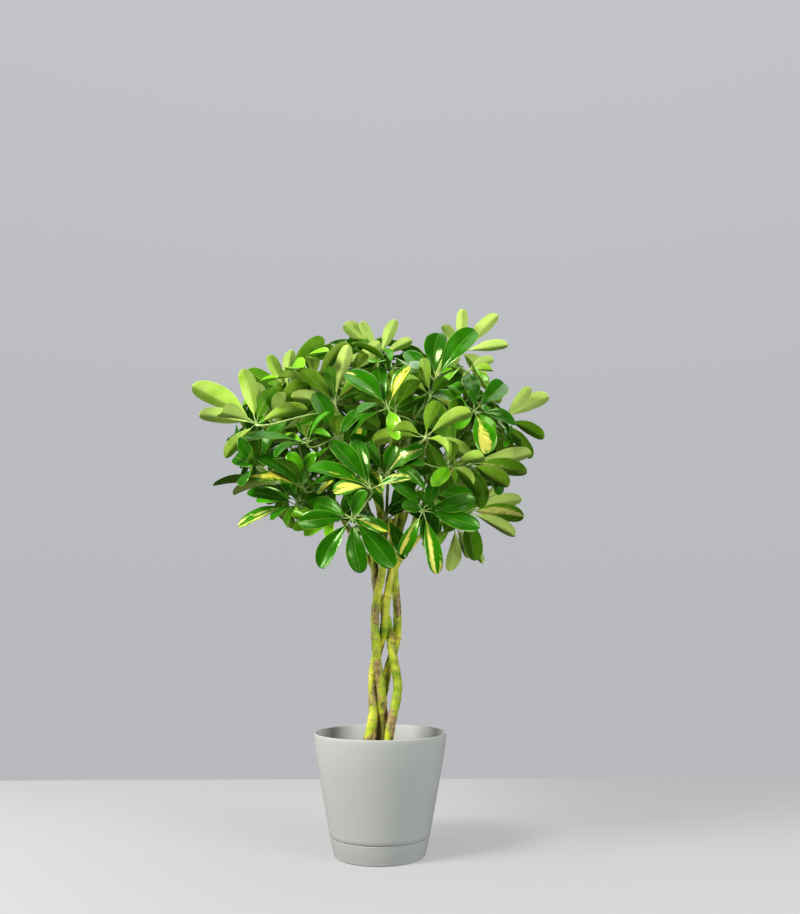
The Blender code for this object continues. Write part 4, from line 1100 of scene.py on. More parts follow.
def half_width(t):
    """A leaflet's half width at a share t of its blade: a tapering base and a round tip."""
    if t < WIDEST:
        return math.sin(math.pi / 2 * t / WIDEST) ** 1.2
    return math.sqrt(max(0.0, 1 - ((t - WIDEST) / (1 - WIDEST)) ** 2.5))


def blade_form(age, rng):
    """How one leaflet differs from the next: its fold (deeper while young), twist, ripple and tip."""
    return {
        "twist": rng.gauss(0, 0.22),
        "fold": rng.uniform(1.0, 1.8),
        "crease": max(0.0, age - 0.3) * rng.uniform(0.1, 1.2),
        "ripple": rng.uniform(0.01, 0.07),
        "waves": rng.uniform(1.2, 2.6),
        "phase": rng.uniform(0, math.tau),
        "tip": rng.uniform(-0.01, 0.06),
        "roll": rng.uniform(0.0, 0.16),
        "bend": rng.gauss(0, 0.025),
    }


def blade_point(leaflet, form, t, u):
    """A point of the blade's middle surface: t runs from its base to its tip, u from edge to edge."""
    s = PETIOLULE + (1 - PETIOLULE) * t
    point, upper = leaflet.frame(s)
    twist = form["twist"] * (t - 0.4)
    side = leaflet.side * math.cos(twist) + upper * math.sin(twist)
    upper = upper * math.cos(twist) - leaflet.side * math.sin(twist)
    half = leaflet.width / 2 * BLADE_FULLNESS * half_width(t)
    edge = abs(u)
    fold = math.atan((leaflet.fold * form["fold"] + form["crease"]) * (1.25 - 0.6 * t))
    lift = half * math.sin(fold) * edge ** 1.3 - half * form["roll"] * edge ** 5
    wave = form["ripple"] * math.sin(math.tau * form["waves"] * t + form["phase"] + u)
    lift += half * wave * edge * edge
    droop = form["tip"] * leaflet.length * max(0.0, t - 0.55) ** 2
    bend = form["bend"] * leaflet.length * math.sin(math.pi * t)
    return point + side * (half * u * math.cos(fold) + bend) + upper * (lift - droop), upper


def add_blade(shell, leaflet, rng):
    """One leaflet's blade: an upper and a lower skin that share the blade's edge."""
    form = blade_form(leaflet.look[0], rng)
    seed = rng.random()
    look = leaflet.look
    columns = range(len(BLADE_COLUMNS))
    tops, bottoms = [], []
    for i in range(BLADE_STEPS):
        t = 0.5 - 0.5 * math.cos(math.pi * (i + 0.8) / (BLADE_STEPS + 0.3))
        top, bottom = [], []
        for column in columns:
            u = BLADE_COLUMNS[column]
            corner, upper = blade_point(leaflet, form, t, u)
            place = (u, t, seed)
            rib = RIB_HEIGHT * math.exp(-(u / 0.1) ** 2) * (1 - 0.7 * t)
            if abs(u) == 1.0:
                top.append(shell.point(corner, place, look))
                bottom.append(top[-1])
            else:
                top.append(shell.point(corner + upper * (BLADE_THICKNESS / 2 - 0.4 * rib), place, look))
                bottom.append(shell.point(corner - upper * (BLADE_THICKNESS / 2 + rib), place, look))
        tops.append(top)
        bottoms.append(bottom)
    for i in range(BLADE_STEPS - 1):
        for c in range(len(BLADE_COLUMNS) - 1):
            shell.face((tops[i][c], tops[i + 1][c], tops[i + 1][c + 1], tops[i][c + 1]), UPPER)
            shell.face((bottoms[i][c], bottoms[i][c + 1], bottoms[i + 1][c + 1], bottoms[i + 1][c]), UNDER)
    for t, row, step in ((0.0, 0, 1), (1.0, -1, -1)):
        corner = blade_point(leaflet, form, t, 0.0)[0]
        end = shell.point(corner, (0.0, t, seed), look)
        for c in range(len(BLADE_COLUMNS) - 1):
            shell.face((end,) + (tops[row][c], tops[row][c + 1])[::step], UPPER)
            shell.face((end,) + (bottoms[row][c + 1], bottoms[row][c])[::step], UNDER)


def add_petiolule(shell, leaflet, facing):
    """The short stalk of a leaflet, from the hub into the base of its blade."""
    points = [leaflet.frame(PETIOLULE * share)[0] for share in (0.0, 0.25, 0.5, 0.75, 1.0, 1.35)]
    points[0] = leaflet.hub - facing * (HUB_TOP / 2)
    radii = [PETIOLULE_RADIUS * size for size in (1.5, 1.15, 1.0, 1.0, 1.05, 0.55)]
    shell.tube(points, radii, 6, STALK, 0.0, (0.7, -1.0, 0.0))


def add_stalk(shell, leaf):
    """The long leaf stalk, swollen where it leaves its twig and under the whorl."""
    points = stalk_curve(*leaf.origin, leaf.hub, leaf.facing, FINE_STALK_STEPS)
    points.append(leaf.hub + leaf.facing * (HUB_TOP / 2))
    radii = []
    for i in range(len(points)):
        t = i / (len(points) - 1)
        swollen = 1 + PULVINUS * math.exp(-(t / 0.09) ** 2)
        radii.append(STALK_RADIUS * swollen)
    radii[-3:] = [STALK_RADIUS * 1.05, HUB_SWELLING * 0.85, HUB_SWELLING]
    shell.tube(points, radii, FINE_STALK_SIDES, STALK, 0.5, (0.6, -1.0, 0.0))


def scar_places(length, rng):
    """Seeded distances of the ring scars along a stem."""
    places, at = [], rng.uniform(0.004, SCAR_SPACING[1])
    while at < length:
        places.append(at)
        at += rng.uniform(*SCAR_SPACING)
    return places


def even_points(points, step):
    """The same line with points at an even distance, and each one's distance along it."""
    lengths = [0.0]
    for a, b in zip(points, points[1:]):
        lengths.append(lengths[-1] + (b - a).length)
    count = max(2, round(lengths[-1] / step))
    spaced, at = [], 0
    for i in range(count + 1):
        goal = lengths[-1] * i / count
        while at < len(lengths) - 2 and lengths[at + 1] < goal:
            at += 1
        share = (goal - lengths[at]) / (lengths[at + 1] - lengths[at])
        spaced.append((points[at].lerp(points[at + 1], share), goal))
    return spaced


def add_bark(shell, points, radius_at, step, sides, scars, brown_at, slot, tilt=0.0):
    """A stem or twig with swollen nodes, raised ring scars and a slightly uneven surface."""
    spaced = even_points(points, step)
    total = spaced[-1][1]
    rings = []
    side = Vector((1, 0, 0))
    for i, (point, at) in enumerate(spaced):
        along = (spaced[min(i + 1, len(spaced) - 1)][0] - spaced[max(i - 1, 0)][0]).normalized()
        side = (side - along * side.dot(along)).normalized()
        across = along.cross(side)
        ring = []
        for k in range(sides):
            angle = math.tau * k / sides
            out = side * math.cos(angle) + across * math.sin(angle)
            shifted = at + tilt * radius_at(at / total) * math.cos(angle)
            near = min((abs(shifted - scar) for scar in scars), default=1.0)
            patchy = 0.55 + 1.2 * noise.noise(Vector((math.cos(angle), math.sin(angle), at * 90)))
            scar = math.exp(-(near / SCAR_WIDTH) ** 2) * max(0.0, min(1.0, patchy))
            swell = math.exp(-(near / 0.004) ** 2)
            rough = noise.noise((point + out * 0.004) * 170) * 0.05 + noise.noise(point * 55) * 0.05
            radius = radius_at(at / total) * (1 + NODE_SWELL * swell + rough) + SCAR_HEIGHT * scar
            corner = point + out * radius
            ring.append(shell.point(corner, (scar, at / total, swell), (brown_at(corner), 0.0, 0.0)))
        rings.append(ring)
    for near, far in zip(rings, rings[1:]):
        shell.strip(near, far, slot)
    shell.face(tuple(reversed(rings[0])), slot)
    shell.face(tuple(rings[-1]), slot)


def stem_brown(corner):
    """How brown the bark is: patches that are commoner near the soil."""
    height = corner.z - SOIL_TOP
    low = 0.75 * math.exp(-max(0.0, height) / 0.050)
    patch = noise.noise(corner * Vector((55, 55, 24))) * 0.85 + noise.noise(corner * 190) * 0.25
    return max(0.0, min(1.0, low + 0.24 + patch))


def twig_brown(corner):
    return max(0.0, min(1.0, 0.25 + noise.noise(corner * 45) * 0.8))


def build_fine_stems(stems, shoots, bark, rng):
    """Each stem with its branches, on the same lines as its solid."""
    for name, route in STEM_ROUTES.items():
        knots = [photo_point(px, py, forward) for px, py, forward in route]
        foot = stems[name][0]
        line = [foot] + smooth_route([stems[name][1]] + knots, 10)
        shell = Shell()
        total = sum((b - a).length for a, b in zip(line, line[1:]))

        def radius_at(share):
            return STEM_RADIUS_LOW + (STEM_RADIUS_HIGH - STEM_RADIUS_LOW) * share

        add_bark(shell, line, radius_at, STEM_STEP, STEM_SIDES, scar_places(total, rng), stem_brown, 0, 0.3)
        for shoot in shoots:
            if shoot.stem == name:
                add_branch(shell, shoot, rng)
        shell.made(name + "_bark", [bark], name, "bark")


def add_branch(shell, shoot, rng):
    """A woody branch, thickest where it leaves its stem, that ends in its green twig."""
    line = smooth_route(shoot.woody, 8)
    last = line[-1] + (line[-1] - line[-2]).normalized() * 0.001
    length = sum((b - a).length for a, b in zip(line, line[1:]))

    def radius_at(share):
        return BRANCH_RADIUS * (1.25 - 0.45 * share)

    scars = scar_places(length, rng)
    add_bark(shell, line + [last], radius_at, TWIG_STEP, TWIG_SIDES, scars, twig_brown, 0, 0.3)


def add_twig(shell, shoot, rng):
    """The green twig, from just inside its branch to its growing tip."""
    line = smooth_route(shoot.green, 8)
    line[0] = line[0] - (line[1] - line[0]).normalized() * 0.0015
    length = sum((b - a).length for a, b in zip(line, line[1:]))

    def radius_at(share):
        return SHOOT_RADIUS + (SHOOT_TIP_RADIUS - SHOOT_RADIUS) * share

    scars = scar_places(length, rng)
    add_bark(shell, line, radius_at, TWIG_STEP, TWIG_SIDES, scars, twig_brown, TWIG, 0.4)


def leaflet_look(leaf, leaflet, rng):
    """The listed look of a listed leaflet, and a seeded one of any other."""
    looks = LEAFLET_LOOKS.get(leaf.name, "")
    if leaflet.listed is not None:
        key = looks[leaflet.listed]
    elif looks:
        key = rng.choice(looks) if rng.random() < 0.5 else "d"
        key = "d" if key in "yYceh" else key
    else:
        key = leaf.usual if rng.random() < 0.75 else rng.choice(UNLISTED_LOOKS)
    age, gold, warm = LOOKS[key]
    return (age + rng.uniform(-0.06, 0.08), gold, warm)


def build_fine_shoots(shoots, materials, rng):
    """Each leafy shoot: its twig, its leaf stalks and its whorls."""
    for shoot in shoots:
        shell = Shell()
        add_twig(shell, shoot, rng)
        for leaf in shoot.leaves:
            leaf.usual = rng.choice(UNLISTED_LOOKS)
            if len(leaf.leaflets) < 2:
                continue
            add_stalk(shell, leaf)
            for leaflet in leaf.leaflets:
                leaflet.look = leaflet_look(leaf, leaflet, rng)
                add_petiolule(shell, leaflet, leaf.facing)
                add_blade(shell, leaflet, rng)
        shell.made(shoot.name + "_leaves", materials, shoot.name, "leaf")


def widest_gap(leaf):
    """The middle and the size of the widest gap between a whorl's leaflets."""
    bearings = sorted(leaf.bearing(each.along) for each in leaf.leaflets)
    gaps = []
    for i, bearing in enumerate(bearings):
        gap = (bearings[(i + 1) % len(bearings)] - bearing) % math.tau or math.tau
        gaps.append((gap, bearing + gap / 2))
    return max(gaps)


def add_fine_leaflet(leaf, variants, space):
    """Adds the first of a leaflet's variants that lies clear of what is placed."""
    for leaflet in variants:
        if not is_apart(leaf, leaflet, FINE_SPACING):
            continue
        if space.is_clear(*leaflet.blade_faces(), skip=leaf.name):
            leaf.leaflets.append(leaflet)
            space.add((leaf.name,), *leaflet.blade_faces())
            return True
    return False


def away_only(variants):
    """Those of a leaflet's variants that point away from the viewer."""
    return (leaflet for leaflet in variants if leaflet.along.y > LEAST_AWAY)


def fill_whorl(leaf, space, rng):
    """Adds leaflets in a whorl's widest gaps, and only the hidden ones to a listed leaf."""
    chosen = away_only if leaf.name in LEAVES_SEEN else iter
    for count in range(MOST_FILL):
        gap, middle = widest_gap(leaf)
        if gap < FILL_GAP:
            return
        cup = math.radians(rng.uniform(-5, 25))
        shifts = (0.0, 0.17, -0.17)
        if not any(add_fine_leaflet(leaf, chosen(ruled_variants(leaf, middle + shift * gap, cup, rng)), space)
                   for shift in shifts):
            return


def plan_fine_leaves(shoots, leaves, space, rng):
    """Fills the gaps of every whorl and adds seeded whorls deep in the crown."""
    for leaf in leaves:
        fill_whorl(leaf, space, rng)
    for number, (px, py, forward, turn, rise) in enumerate(FILL_PLACES):
        leaf = Leaf(f"fill_{number}", photo_point(px, py, forward), aim(turn, rise))
        placed_before = len(space.items)
        if join_leaf(leaf, shoots, space, MOST_FINE_LEAVES_ON_A_SHOOT):
            grow_fill_leaf(leaf, UPRIGHT_CUPS if rise > UPRIGHT_RISE else RULED_CUPS, space, rng)
            if len(leaf.leaflets) < 3:
                leaf.origin[0].leaves.remove(leaf)
                del space.items[placed_before:]
                continue
            fill_whorl(leaf, space, rng)
            leaves.append(leaf)
    wanted = len(leaves) + FINE_LEAVES
    for count in range(MOST_FINE_LEAVES_ON_A_SHOOT):
        for shoot in shoots:
            if len(shoot.leaves) > count or len(leaves) >= wanted:
                continue
            add_fine_leaf(shoot, leaves, space, rng)


def grow_fill_leaf(leaf, cups, space, rng):
    """Leaflets evenly round the hub of a whorl that closes a gap."""
    count = rng.choice(LEAFLET_COUNTS)
    start = rng.uniform(0, math.tau)
    cup = math.radians(rng.uniform(*cups))
    for step in range(count):
        bearing = start + math.tau * step / count + rng.uniform(-0.09, 0.09)
        place_leaflet(leaf, ruled_variants(leaf, bearing, cup, rng), space)


def add_fine_leaf(shoot, leaves, space, rng):
    """Tries seeded places on a twig until a whorl of some leaflets fits."""
    for attempt in range(HUB_TRIES):
        index, hub, facing = ruled_hub(shoot, rng)
        if hub.y < NEAREST_RULED_HUB or not within_inner_crown(hub):
            continue
        if any((hub - other.hub).length < FINE_HUB_SPACING for other in leaves):
            continue
        placed_before = len(space.items)
        leaf = Leaf(f"leaf_{len(leaves) + 1}", hub, facing)
        if not hang_leaf(leaf, shoot, index, space):
            continue
        grow_ruled_leaf(leaf, space, rng)
        if len(leaf.leaflets) < 4:
            shoot.leaves.remove(leaf)
            del space.items[placed_before:]
            continue
        fill_whorl(leaf, space, rng)
        leaves.append(leaf)
        return


def link(tree, start, end):
    tree.links.new(start, end)


class Nodes:
    """Short names for the shader nodes that a material needs."""

    def __init__(self, name):
        self.made = bpy.data.materials.new(name)
        self.made.use_nodes = True
        self.tree = self.made.node_tree
        self.shader = self.tree.nodes["Principled BSDF"]

    def set(self, socket, value):
        if hasattr(value, "is_linked"):
            link(self.tree, value, socket)
        else:
            socket.default_value = value

    def shade(self, **values):
        for name, value in values.items():
            self.set(self.shader.inputs[name.replace("_", " ").title()], value)

    def math(self, kind, *values, clamp=False):
        node = self.tree.nodes.new("ShaderNodeMath")
        node.operation = kind
        node.use_clamp = clamp
        for socket, value in zip(node.inputs, values):
            self.set(socket, value)
        return node.outputs[0]

    def parts(self, attribute):
        """The three numbers of a vector attribute."""
        node = self.tree.nodes.new("ShaderNodeAttribute")
        node.attribute_name = attribute
        split = self.tree.nodes.new("ShaderNodeSeparateXYZ")
        link(self.tree, node.outputs["Vector"], split.inputs[0])
        return split.outputs

    def position(self):
        node = self.tree.nodes.new("ShaderNodeTexCoord")
        return node.outputs["Object"]

    def vector(self, *values):
        node = self.tree.nodes.new("ShaderNodeCombineXYZ")
        for socket, value in zip(node.inputs, values):
            self.set(socket, value)
        return node.outputs[0]

    def noise(self, place, scale, detail=2.0, distortion=0.0):
        node = self.tree.nodes.new("ShaderNodeTexNoise")
        self.set(node.inputs["Vector"], place)
        node.inputs["Scale"].default_value = scale
        node.inputs["Detail"].default_value = detail
        node.inputs["Distortion"].default_value = distortion
        return node.outputs[0]

    def ramp(self, factor, stops):
        node = self.tree.nodes.new("ShaderNodeValToRGB")
        elements = node.color_ramp.elements
        while len(elements) < len(stops):
            elements.new(0.5)
        for element, (place, colour) in zip(elements, stops):
            element.position = place
            element.color = (*colour, 1.0)
        self.set(node.inputs[0], factor)
        return node.outputs[0]

    def mix(self, factor, low, high):
        node = self.tree.nodes.new("ShaderNodeMix")
        node.data_type = "RGBA"
        self.set(node.inputs[0], factor)
        for socket, value in ((node.inputs[6], low), (node.inputs[7], high)):
            self.set(socket, (*value, 1.0) if isinstance(value, tuple) else value)
        return node.outputs[2]

    def between(self, value, low, high):
        """0 below low, 1 above high and a smooth step between."""
        node = self.tree.nodes.new("ShaderNodeMapRange")
        node.interpolation_type = "SMOOTHSTEP"
        self.set(node.inputs[0], value)
        node.inputs[1].default_value = low
        node.inputs[2].default_value = high
        return node.outputs[0]

    def bump(self, height, strength, distance):
        node = self.tree.nodes.new("ShaderNodeBump")
        node.inputs["Strength"].default_value = strength
        node.inputs["Distance"].default_value = distance
        self.set(node.inputs["Height"], height)
        link(self.tree, node.outputs[0], self.shader.inputs["Normal"])


def leaf_material(name, greens, yellows, gloss, vein_colour, vein_strength, painted_edge_light, gold_share, shine):
    """A leaf's face: green by age with seeded yellow patches, a midrib, side veins and a pale edge, which is
    painted light shining through the thin margin.
    """
    n = Nodes(name)
    across, along, seed = n.parts("place")
    age, gold, warm = n.parts("tone")
    mottle = n.noise(n.position(), 55, 3)
    shade = n.math("ADD", age, n.math("MULTIPLY", n.math("SUBTRACT", mottle, 0.5), 0.5))
    green = n.ramp(shade, [(0.0, greens[0]), (0.33, greens[1]), (0.66, greens[2]), (1.0, greens[3])])
    edge = n.math("ABSOLUTE", across)
    far = n.math("MULTIPLY", seed, 60)
    slanted = n.math("SUBTRACT", n.math("MULTIPLY", along, 13), n.math("MULTIPLY", edge, 3.2))
    spread = n.vector(n.math("MULTIPLY", across, 1.5), n.math("MULTIPLY", along, 1.1), far)
    jagged = n.noise(n.vector(n.math("MULTIPLY", across, 1.2), slanted, far), 1.1, 1)
    teeth = n.math("MULTIPLY", n.math("SUBTRACT", jagged, 0.5), 0.28)
    patches = n.math("ADD", n.noise(spread, 1.0, 1), teeth)
    patches = n.math("SUBTRACT", patches, n.math("MULTIPLY", n.math("POWER", edge, 3.0), 0.30))
    least = n.math("SUBTRACT", 0.74, n.math("MULTIPLY", gold, gold_share))
    patch = n.math("MULTIPLY", n.math("SUBTRACT", patches, least), 22, clamp=True)
    half_least = n.math("SUBTRACT", least, 0.07)
    half_patch = n.math("MULTIPLY", n.math("SUBTRACT", patches, half_least), 30, clamp=True)
    yellow = n.mix(warm, yellows[0], yellows[1])
    colour = n.mix(n.math("MULTIPLY", half_patch, 0.45), green, yellow)
    colour = n.mix(patch, colour, yellow)
    # Painted light: the pale edge stands for light shining through the thin margin.
    rim = n.math("MULTIPLY", n.between(edge, 0.93, 1.0), painted_edge_light)
    colour = n.mix(rim, colour, vein_colour)
    rib = n.math("SUBTRACT", 1.0, n.between(edge, 0.015, 0.055))
    wave = n.math("FRACT", slanted)
    vein = n.between(n.math("ABSOLUTE", n.math("SUBTRACT", wave, 0.5)), 0.40, 0.5)
    lines = n.math("MAXIMUM", rib, n.math("MULTIPLY", vein, 0.4))
    shown = n.math("SUBTRACT", vein_strength, n.math("MULTIPLY", patch, vein_strength * 0.8))
    colour = n.mix(n.math("MULTIPLY", lines, shown), colour, vein_colour)
    rough = n.math("ADD", gloss, n.math("MULTIPLY", mottle, 0.12))
    n.shade(base_color=colour, roughness=rough)
    n.shader.inputs["Specular IOR Level"].default_value = shine
    n.shader.inputs["Specular Tint"].default_value = (*GLOSS_TINT, 1.0)
    n.bump(n.math("SUBTRACT", n.math("MULTIPLY", mottle, 0.4), lines), 0.25, 0.0006)
    return n.made


def stalk_material():
    n = Nodes("leaf_stalk")
    around, along, place = n.parts("place")
    shade = n.noise(n.position(), 40, 2)
    colour = n.ramp(shade, [(0.3, (0.20, 0.34, 0.07)), (0.7, (0.34, 0.47, 0.13))])
    n.shade(base_color=colour, roughness=0.42)
    return n.made


def bark_material(name, greens, brown, scar_colour):
    """Green young bark with brown scars and patches."""
    n = Nodes(name)
    scar, along, swell = n.parts("place")
    old, unused_gold, unused_warm = n.parts("tone")
    place = n.position()
    fine = n.noise(place, 420, 3)
    shade = n.math("ADD", n.noise(place, 40, 3), n.math("MULTIPLY", n.math("SUBTRACT", fine, 0.5), 0.2))
    green = n.ramp(shade, [(0.30, greens[0]), (0.50, greens[1]), (0.72, greens[2])])
    patch = n.between(n.math("ADD", old, n.math("MULTIPLY", n.math("SUBTRACT", fine, 0.5), 1.1)), 0.40, 0.66)
    woody = n.mix(n.between(n.noise(place, 150, 3), 0.38, 0.62), brown, scar_colour)
    colour = n.mix(n.math("MULTIPLY", patch, 0.92), green, woody)
    ring = n.math("MULTIPLY", scar, n.between(fine, 0.25, 0.5))
    colour = n.mix(ring, colour, scar_colour)
    speckle = n.math("MULTIPLY", n.between(n.noise(place, 1100, 2), 0.56, 0.66), 0.25)
    colour = n.mix(speckle, colour, brown)
    n.shade(base_color=colour, roughness=0.55)
    n.shader.inputs["Specular IOR Level"].default_value = 0.3
    n.bump(n.math("ADD", fine, n.math("MULTIPLY", patch, 0.5)), 0.5, 0.0007)
    return n.made


def plastic_material():
    n = Nodes("sage_plastic")
    grain = n.noise(n.position(), 900, 2)
    cloud = n.noise(n.position(), 9, 2)
    colour = n.ramp(cloud, [(0.35, (0.380, 0.395, 0.370)), (0.65, (0.396, 0.412, 0.386))])
    n.shade(base_color=colour, roughness=0.58)
    n.bump(grain, 0.12, 0.0004)
    return n.made


def soil_material():
    n = Nodes("potting_soil")
    light, unused_a, unused_b = n.parts("tone")
    fine = n.noise(n.position(), 260, 4)
    dark = n.ramp(fine, [(0.3, (0.012, 0.008, 0.005)), (0.7, (0.055, 0.035, 0.022))])
    colour = n.mix(light, dark, (0.17, 0.11, 0.065))
    n.shade(base_color=colour, roughness=0.92)
    n.bump(fine, 0.6, 0.0015)
    return n.made


def fine_pot_profile():
    """The pot's outline with a round rim and more points down its wall."""
    top = POT_HEIGHT - RIM_ROUNDING
    seam = SEAM_HEIGHT + SEAM_CHAMFER
    heights = [top + (seam - top) * i / 28 for i in range(29)]
    outer = [(wall_radius(z), z) for z in heights]
    inner = [(r - POT_WALL, z) for r, z in reversed(outer)]
    inner[0] = (FOOT_RADIUS - POT_WALL, SEAM_HEIGHT)
    middle = wall_radius(top) - POT_WALL / 2
    rim = []
    for step in range(1, 10):
        angle = math.pi * (1 - step / 10)
        rim.append((middle + POT_WALL / 2 * math.cos(angle), top + RIM_ROUNDING * math.sin(angle)))
    floor = FOOT_HEIGHT + POT_WALL
    shoulder = [
        (SEAM_RADIUS - SEAM_CHAMFER * 0.3, SEAM_HEIGHT + SEAM_CHAMFER * 0.45),
        (SEAM_RADIUS - SEAM_CHAMFER, SEAM_HEIGHT + GAP),
        (FOOT_RADIUS, SEAM_HEIGHT + GAP),
    ]
    foot = [
        (FOOT_RADIUS - FOOT_TAPER, FOOT_HEIGHT + FOOT_CHAMFER),
        (FOOT_RADIUS - FOOT_TAPER - FOOT_CHAMFER, FOOT_HEIGHT),
        (0.0, FOOT_HEIGHT),
    ]
    start = [(0.0, floor), (FOOT_RADIUS - FOOT_TAPER - POT_WALL, floor)]
    return start + inner + rim + outer + shoulder + foot


def stand_in(obj, name, replaced):
    """Renames a finished piece and lets it stand for its solid."""
    obj.name = name
    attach(obj, "root")
    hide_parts(replaced)


def build_fine_pot(collection, plastic):
    pot = turned("pot_shell", fine_pot_profile(), collection, plastic, FINE_ROUND_STEPS)
    cutters = new_collection("drain_holes")
    for i in range(DRAIN_HOLES):
        turn = math.tau * i / DRAIN_HOLES
        low = Vector((DRAIN_CIRCLE * math.cos(turn), DRAIN_CIRCLE * math.sin(turn), 0.0))
        tube(f"hole_{i}", [low, low + Vector((0, 0, 0.02))], [DRAIN_RADIUS] * 2, cutters, 6)
    cut(pot, cutters)
    shade_by_angle(pot.data)
    stand_in(pot, "pot_shell", "pot")


def build_fine_saucer(collection, plastic):
    lip = SEAM_RADIUS - GAP
    belly = SEAM_RADIUS - SAUCER_BELLY
    corner = SAUCER_CORNER
    rib_top = FOOT_HEIGHT - GAP
    rib_half = SAUCER_RIB_WIDTH / 2
    profile = [
        (0.0, SAUCER_FLOOR),
        (SAUCER_RIB_RADIUS - rib_half - SAUCER_RIB_DRAFT, SAUCER_FLOOR),
        (SAUCER_RIB_RADIUS - rib_half, rib_top),
        (SAUCER_RIB_RADIUS + rib_half, rib_top),
        (SAUCER_RIB_RADIUS + rib_half + SAUCER_RIB_DRAFT, SAUCER_FLOOR),
        (SAUCER_BASE_RADIUS - SAUCER_FILLET, SAUCER_FLOOR),
        (belly - SAUCER_WALL, SAUCER_WALL_FOOT),
        (lip - SAUCER_WALL, SEAM_HEIGHT - 0.0004),
        (lip - SAUCER_WALL + 0.0004, SEAM_HEIGHT),
        (lip - SAUCER_LIP_CHAMFER, SEAM_HEIGHT),
        (lip, SEAM_HEIGHT - 0.0006),
    ]
    for step in range(1, 9):
        t = step / 9
        sag = 0.0004 * math.sin(math.pi * t)
        low = (SAUCER_BASE_RADIUS + corner, corner)
        profile.append((lip + (low[0] - lip) * t + sag, SEAM_HEIGHT + (low[1] - SEAM_HEIGHT) * t))
    for step in range(0, 7):
        angle = math.pi / 2 * step / 6
        profile.append((SAUCER_BASE_RADIUS + corner * math.cos(angle), corner - corner * math.sin(angle)))
    profile.append((0.0, 0.0))
    saucer = applied(turned("saucer_dish", profile, collection, plastic, FINE_ROUND_STEPS))
    shade_by_angle(saucer.data)
    stand_in(saucer, "saucer_dish", "saucer")


def shade_by_angle(mesh):
    mesh.shade_smooth()
    mesh.set_sharp_from_angle(angle=math.radians(48))


def fine_soil_height(x, y, fade):
    rough = noise.noise(Vector((x, y, 0)) * 90) * 0.0022 + noise.noise(Vector((x, y, 3)) * 310) * 0.0009
    return SOIL_TOP + fade * (soil_height(x, y) - SOIL_TOP + rough)


def build_fine_soil(earth, rng):
    """The fill of the pot with a crumbly top."""
    shell = Shell()
    top = wall_radius(SOIL_TOP) - POT_WALL - SOIL_EDGE_GAP
    columns, rows = SOIL_COLUMNS, SOIL_ROWS
    rings = []
    for row in range(1, rows + 1):
        radius = top * row / rows
        ring = []
        for column in range(columns):
            angle = math.tau * column / columns
            x, y = radius * math.cos(angle), radius * math.sin(angle)
            z = fine_soil_height(x, y, min(1.0, (top - radius) / SOIL_EDGE_FADE + 0.15))
            ring.append(shell.point(Vector((x, y, z)), (0, 0, 0), (0, 0, 0)))
        rings.append(ring)
    middle = shell.point(Vector((0, 0, fine_soil_height(0, 0, 1.0))), (0, 0, 0), (0, 0, 0))
    foot = FOOT_RADIUS - POT_WALL - 2 * GAP
    floor = FOOT_HEIGHT + POT_WALL + 2 * GAP
    wall = wall_radius(FLARE_HEIGHT) - POT_WALL - 2 * GAP
    for radius, z in ((wall, FLARE_HEIGHT), (foot, SEAM_HEIGHT), (foot - SOIL_FOOT_STEP, floor)):
        turns = [math.tau * column / columns for column in range(columns)]
        corners = [Vector((radius * math.cos(a), radius * math.sin(a), z)) for a in turns]
        rings.append([shell.point(corner, (0, 0, 0), (0, 0, 0)) for corner in corners])
    for near, far in zip(rings, rings[1:]):
        shell.strip(far, near, 0)
    for column in range(columns):
        shell.face((middle, rings[0][column], rings[0][(column + 1) % columns]), 0)
    shell.face(tuple(reversed(rings[-1])), 0)
    for count in range(CRUMBS):
        add_crumb(shell, top, rng)
    shell.made("soil_fill", [earth], "soil", "soil")


def add_crumb(shell, top, rng):
    """A small lump on the soil: an uneven eight-cornered ball."""
    radius = (top - 0.006) * math.sqrt(rng.random())
    turn = rng.uniform(0, math.tau)
    x, y = radius * math.cos(turn), radius * math.sin(turn)
    low, high = CRUMB_SIZES
    size = low + (high - low) * rng.random() ** 3
    middle = Vector((x, y, fine_soil_height(x, y, 1.0) + size * 0.2))
    ball = bmesh.new()
    bmesh.ops.create_icosphere(ball, subdivisions=1, radius=size)
    tone = (max(0.0, rng.gauss(0.12, 0.3)), 0.0, 0.0)
    squash = Vector((rng.uniform(0.7, 1.3), rng.uniform(0.7, 1.3), rng.uniform(0.45, 0.9)))
    corners = []
    for corner in ball.verts:
        shaped = corner.co * squash * rng.uniform(0.8, 1.15)
        corners.append(shell.point(middle + shaped, (0, 0, 0), tone))
    for face in ball.faces:
        shell.face(tuple(corners[corner.index] for corner in face.verts), 0)
    ball.free()


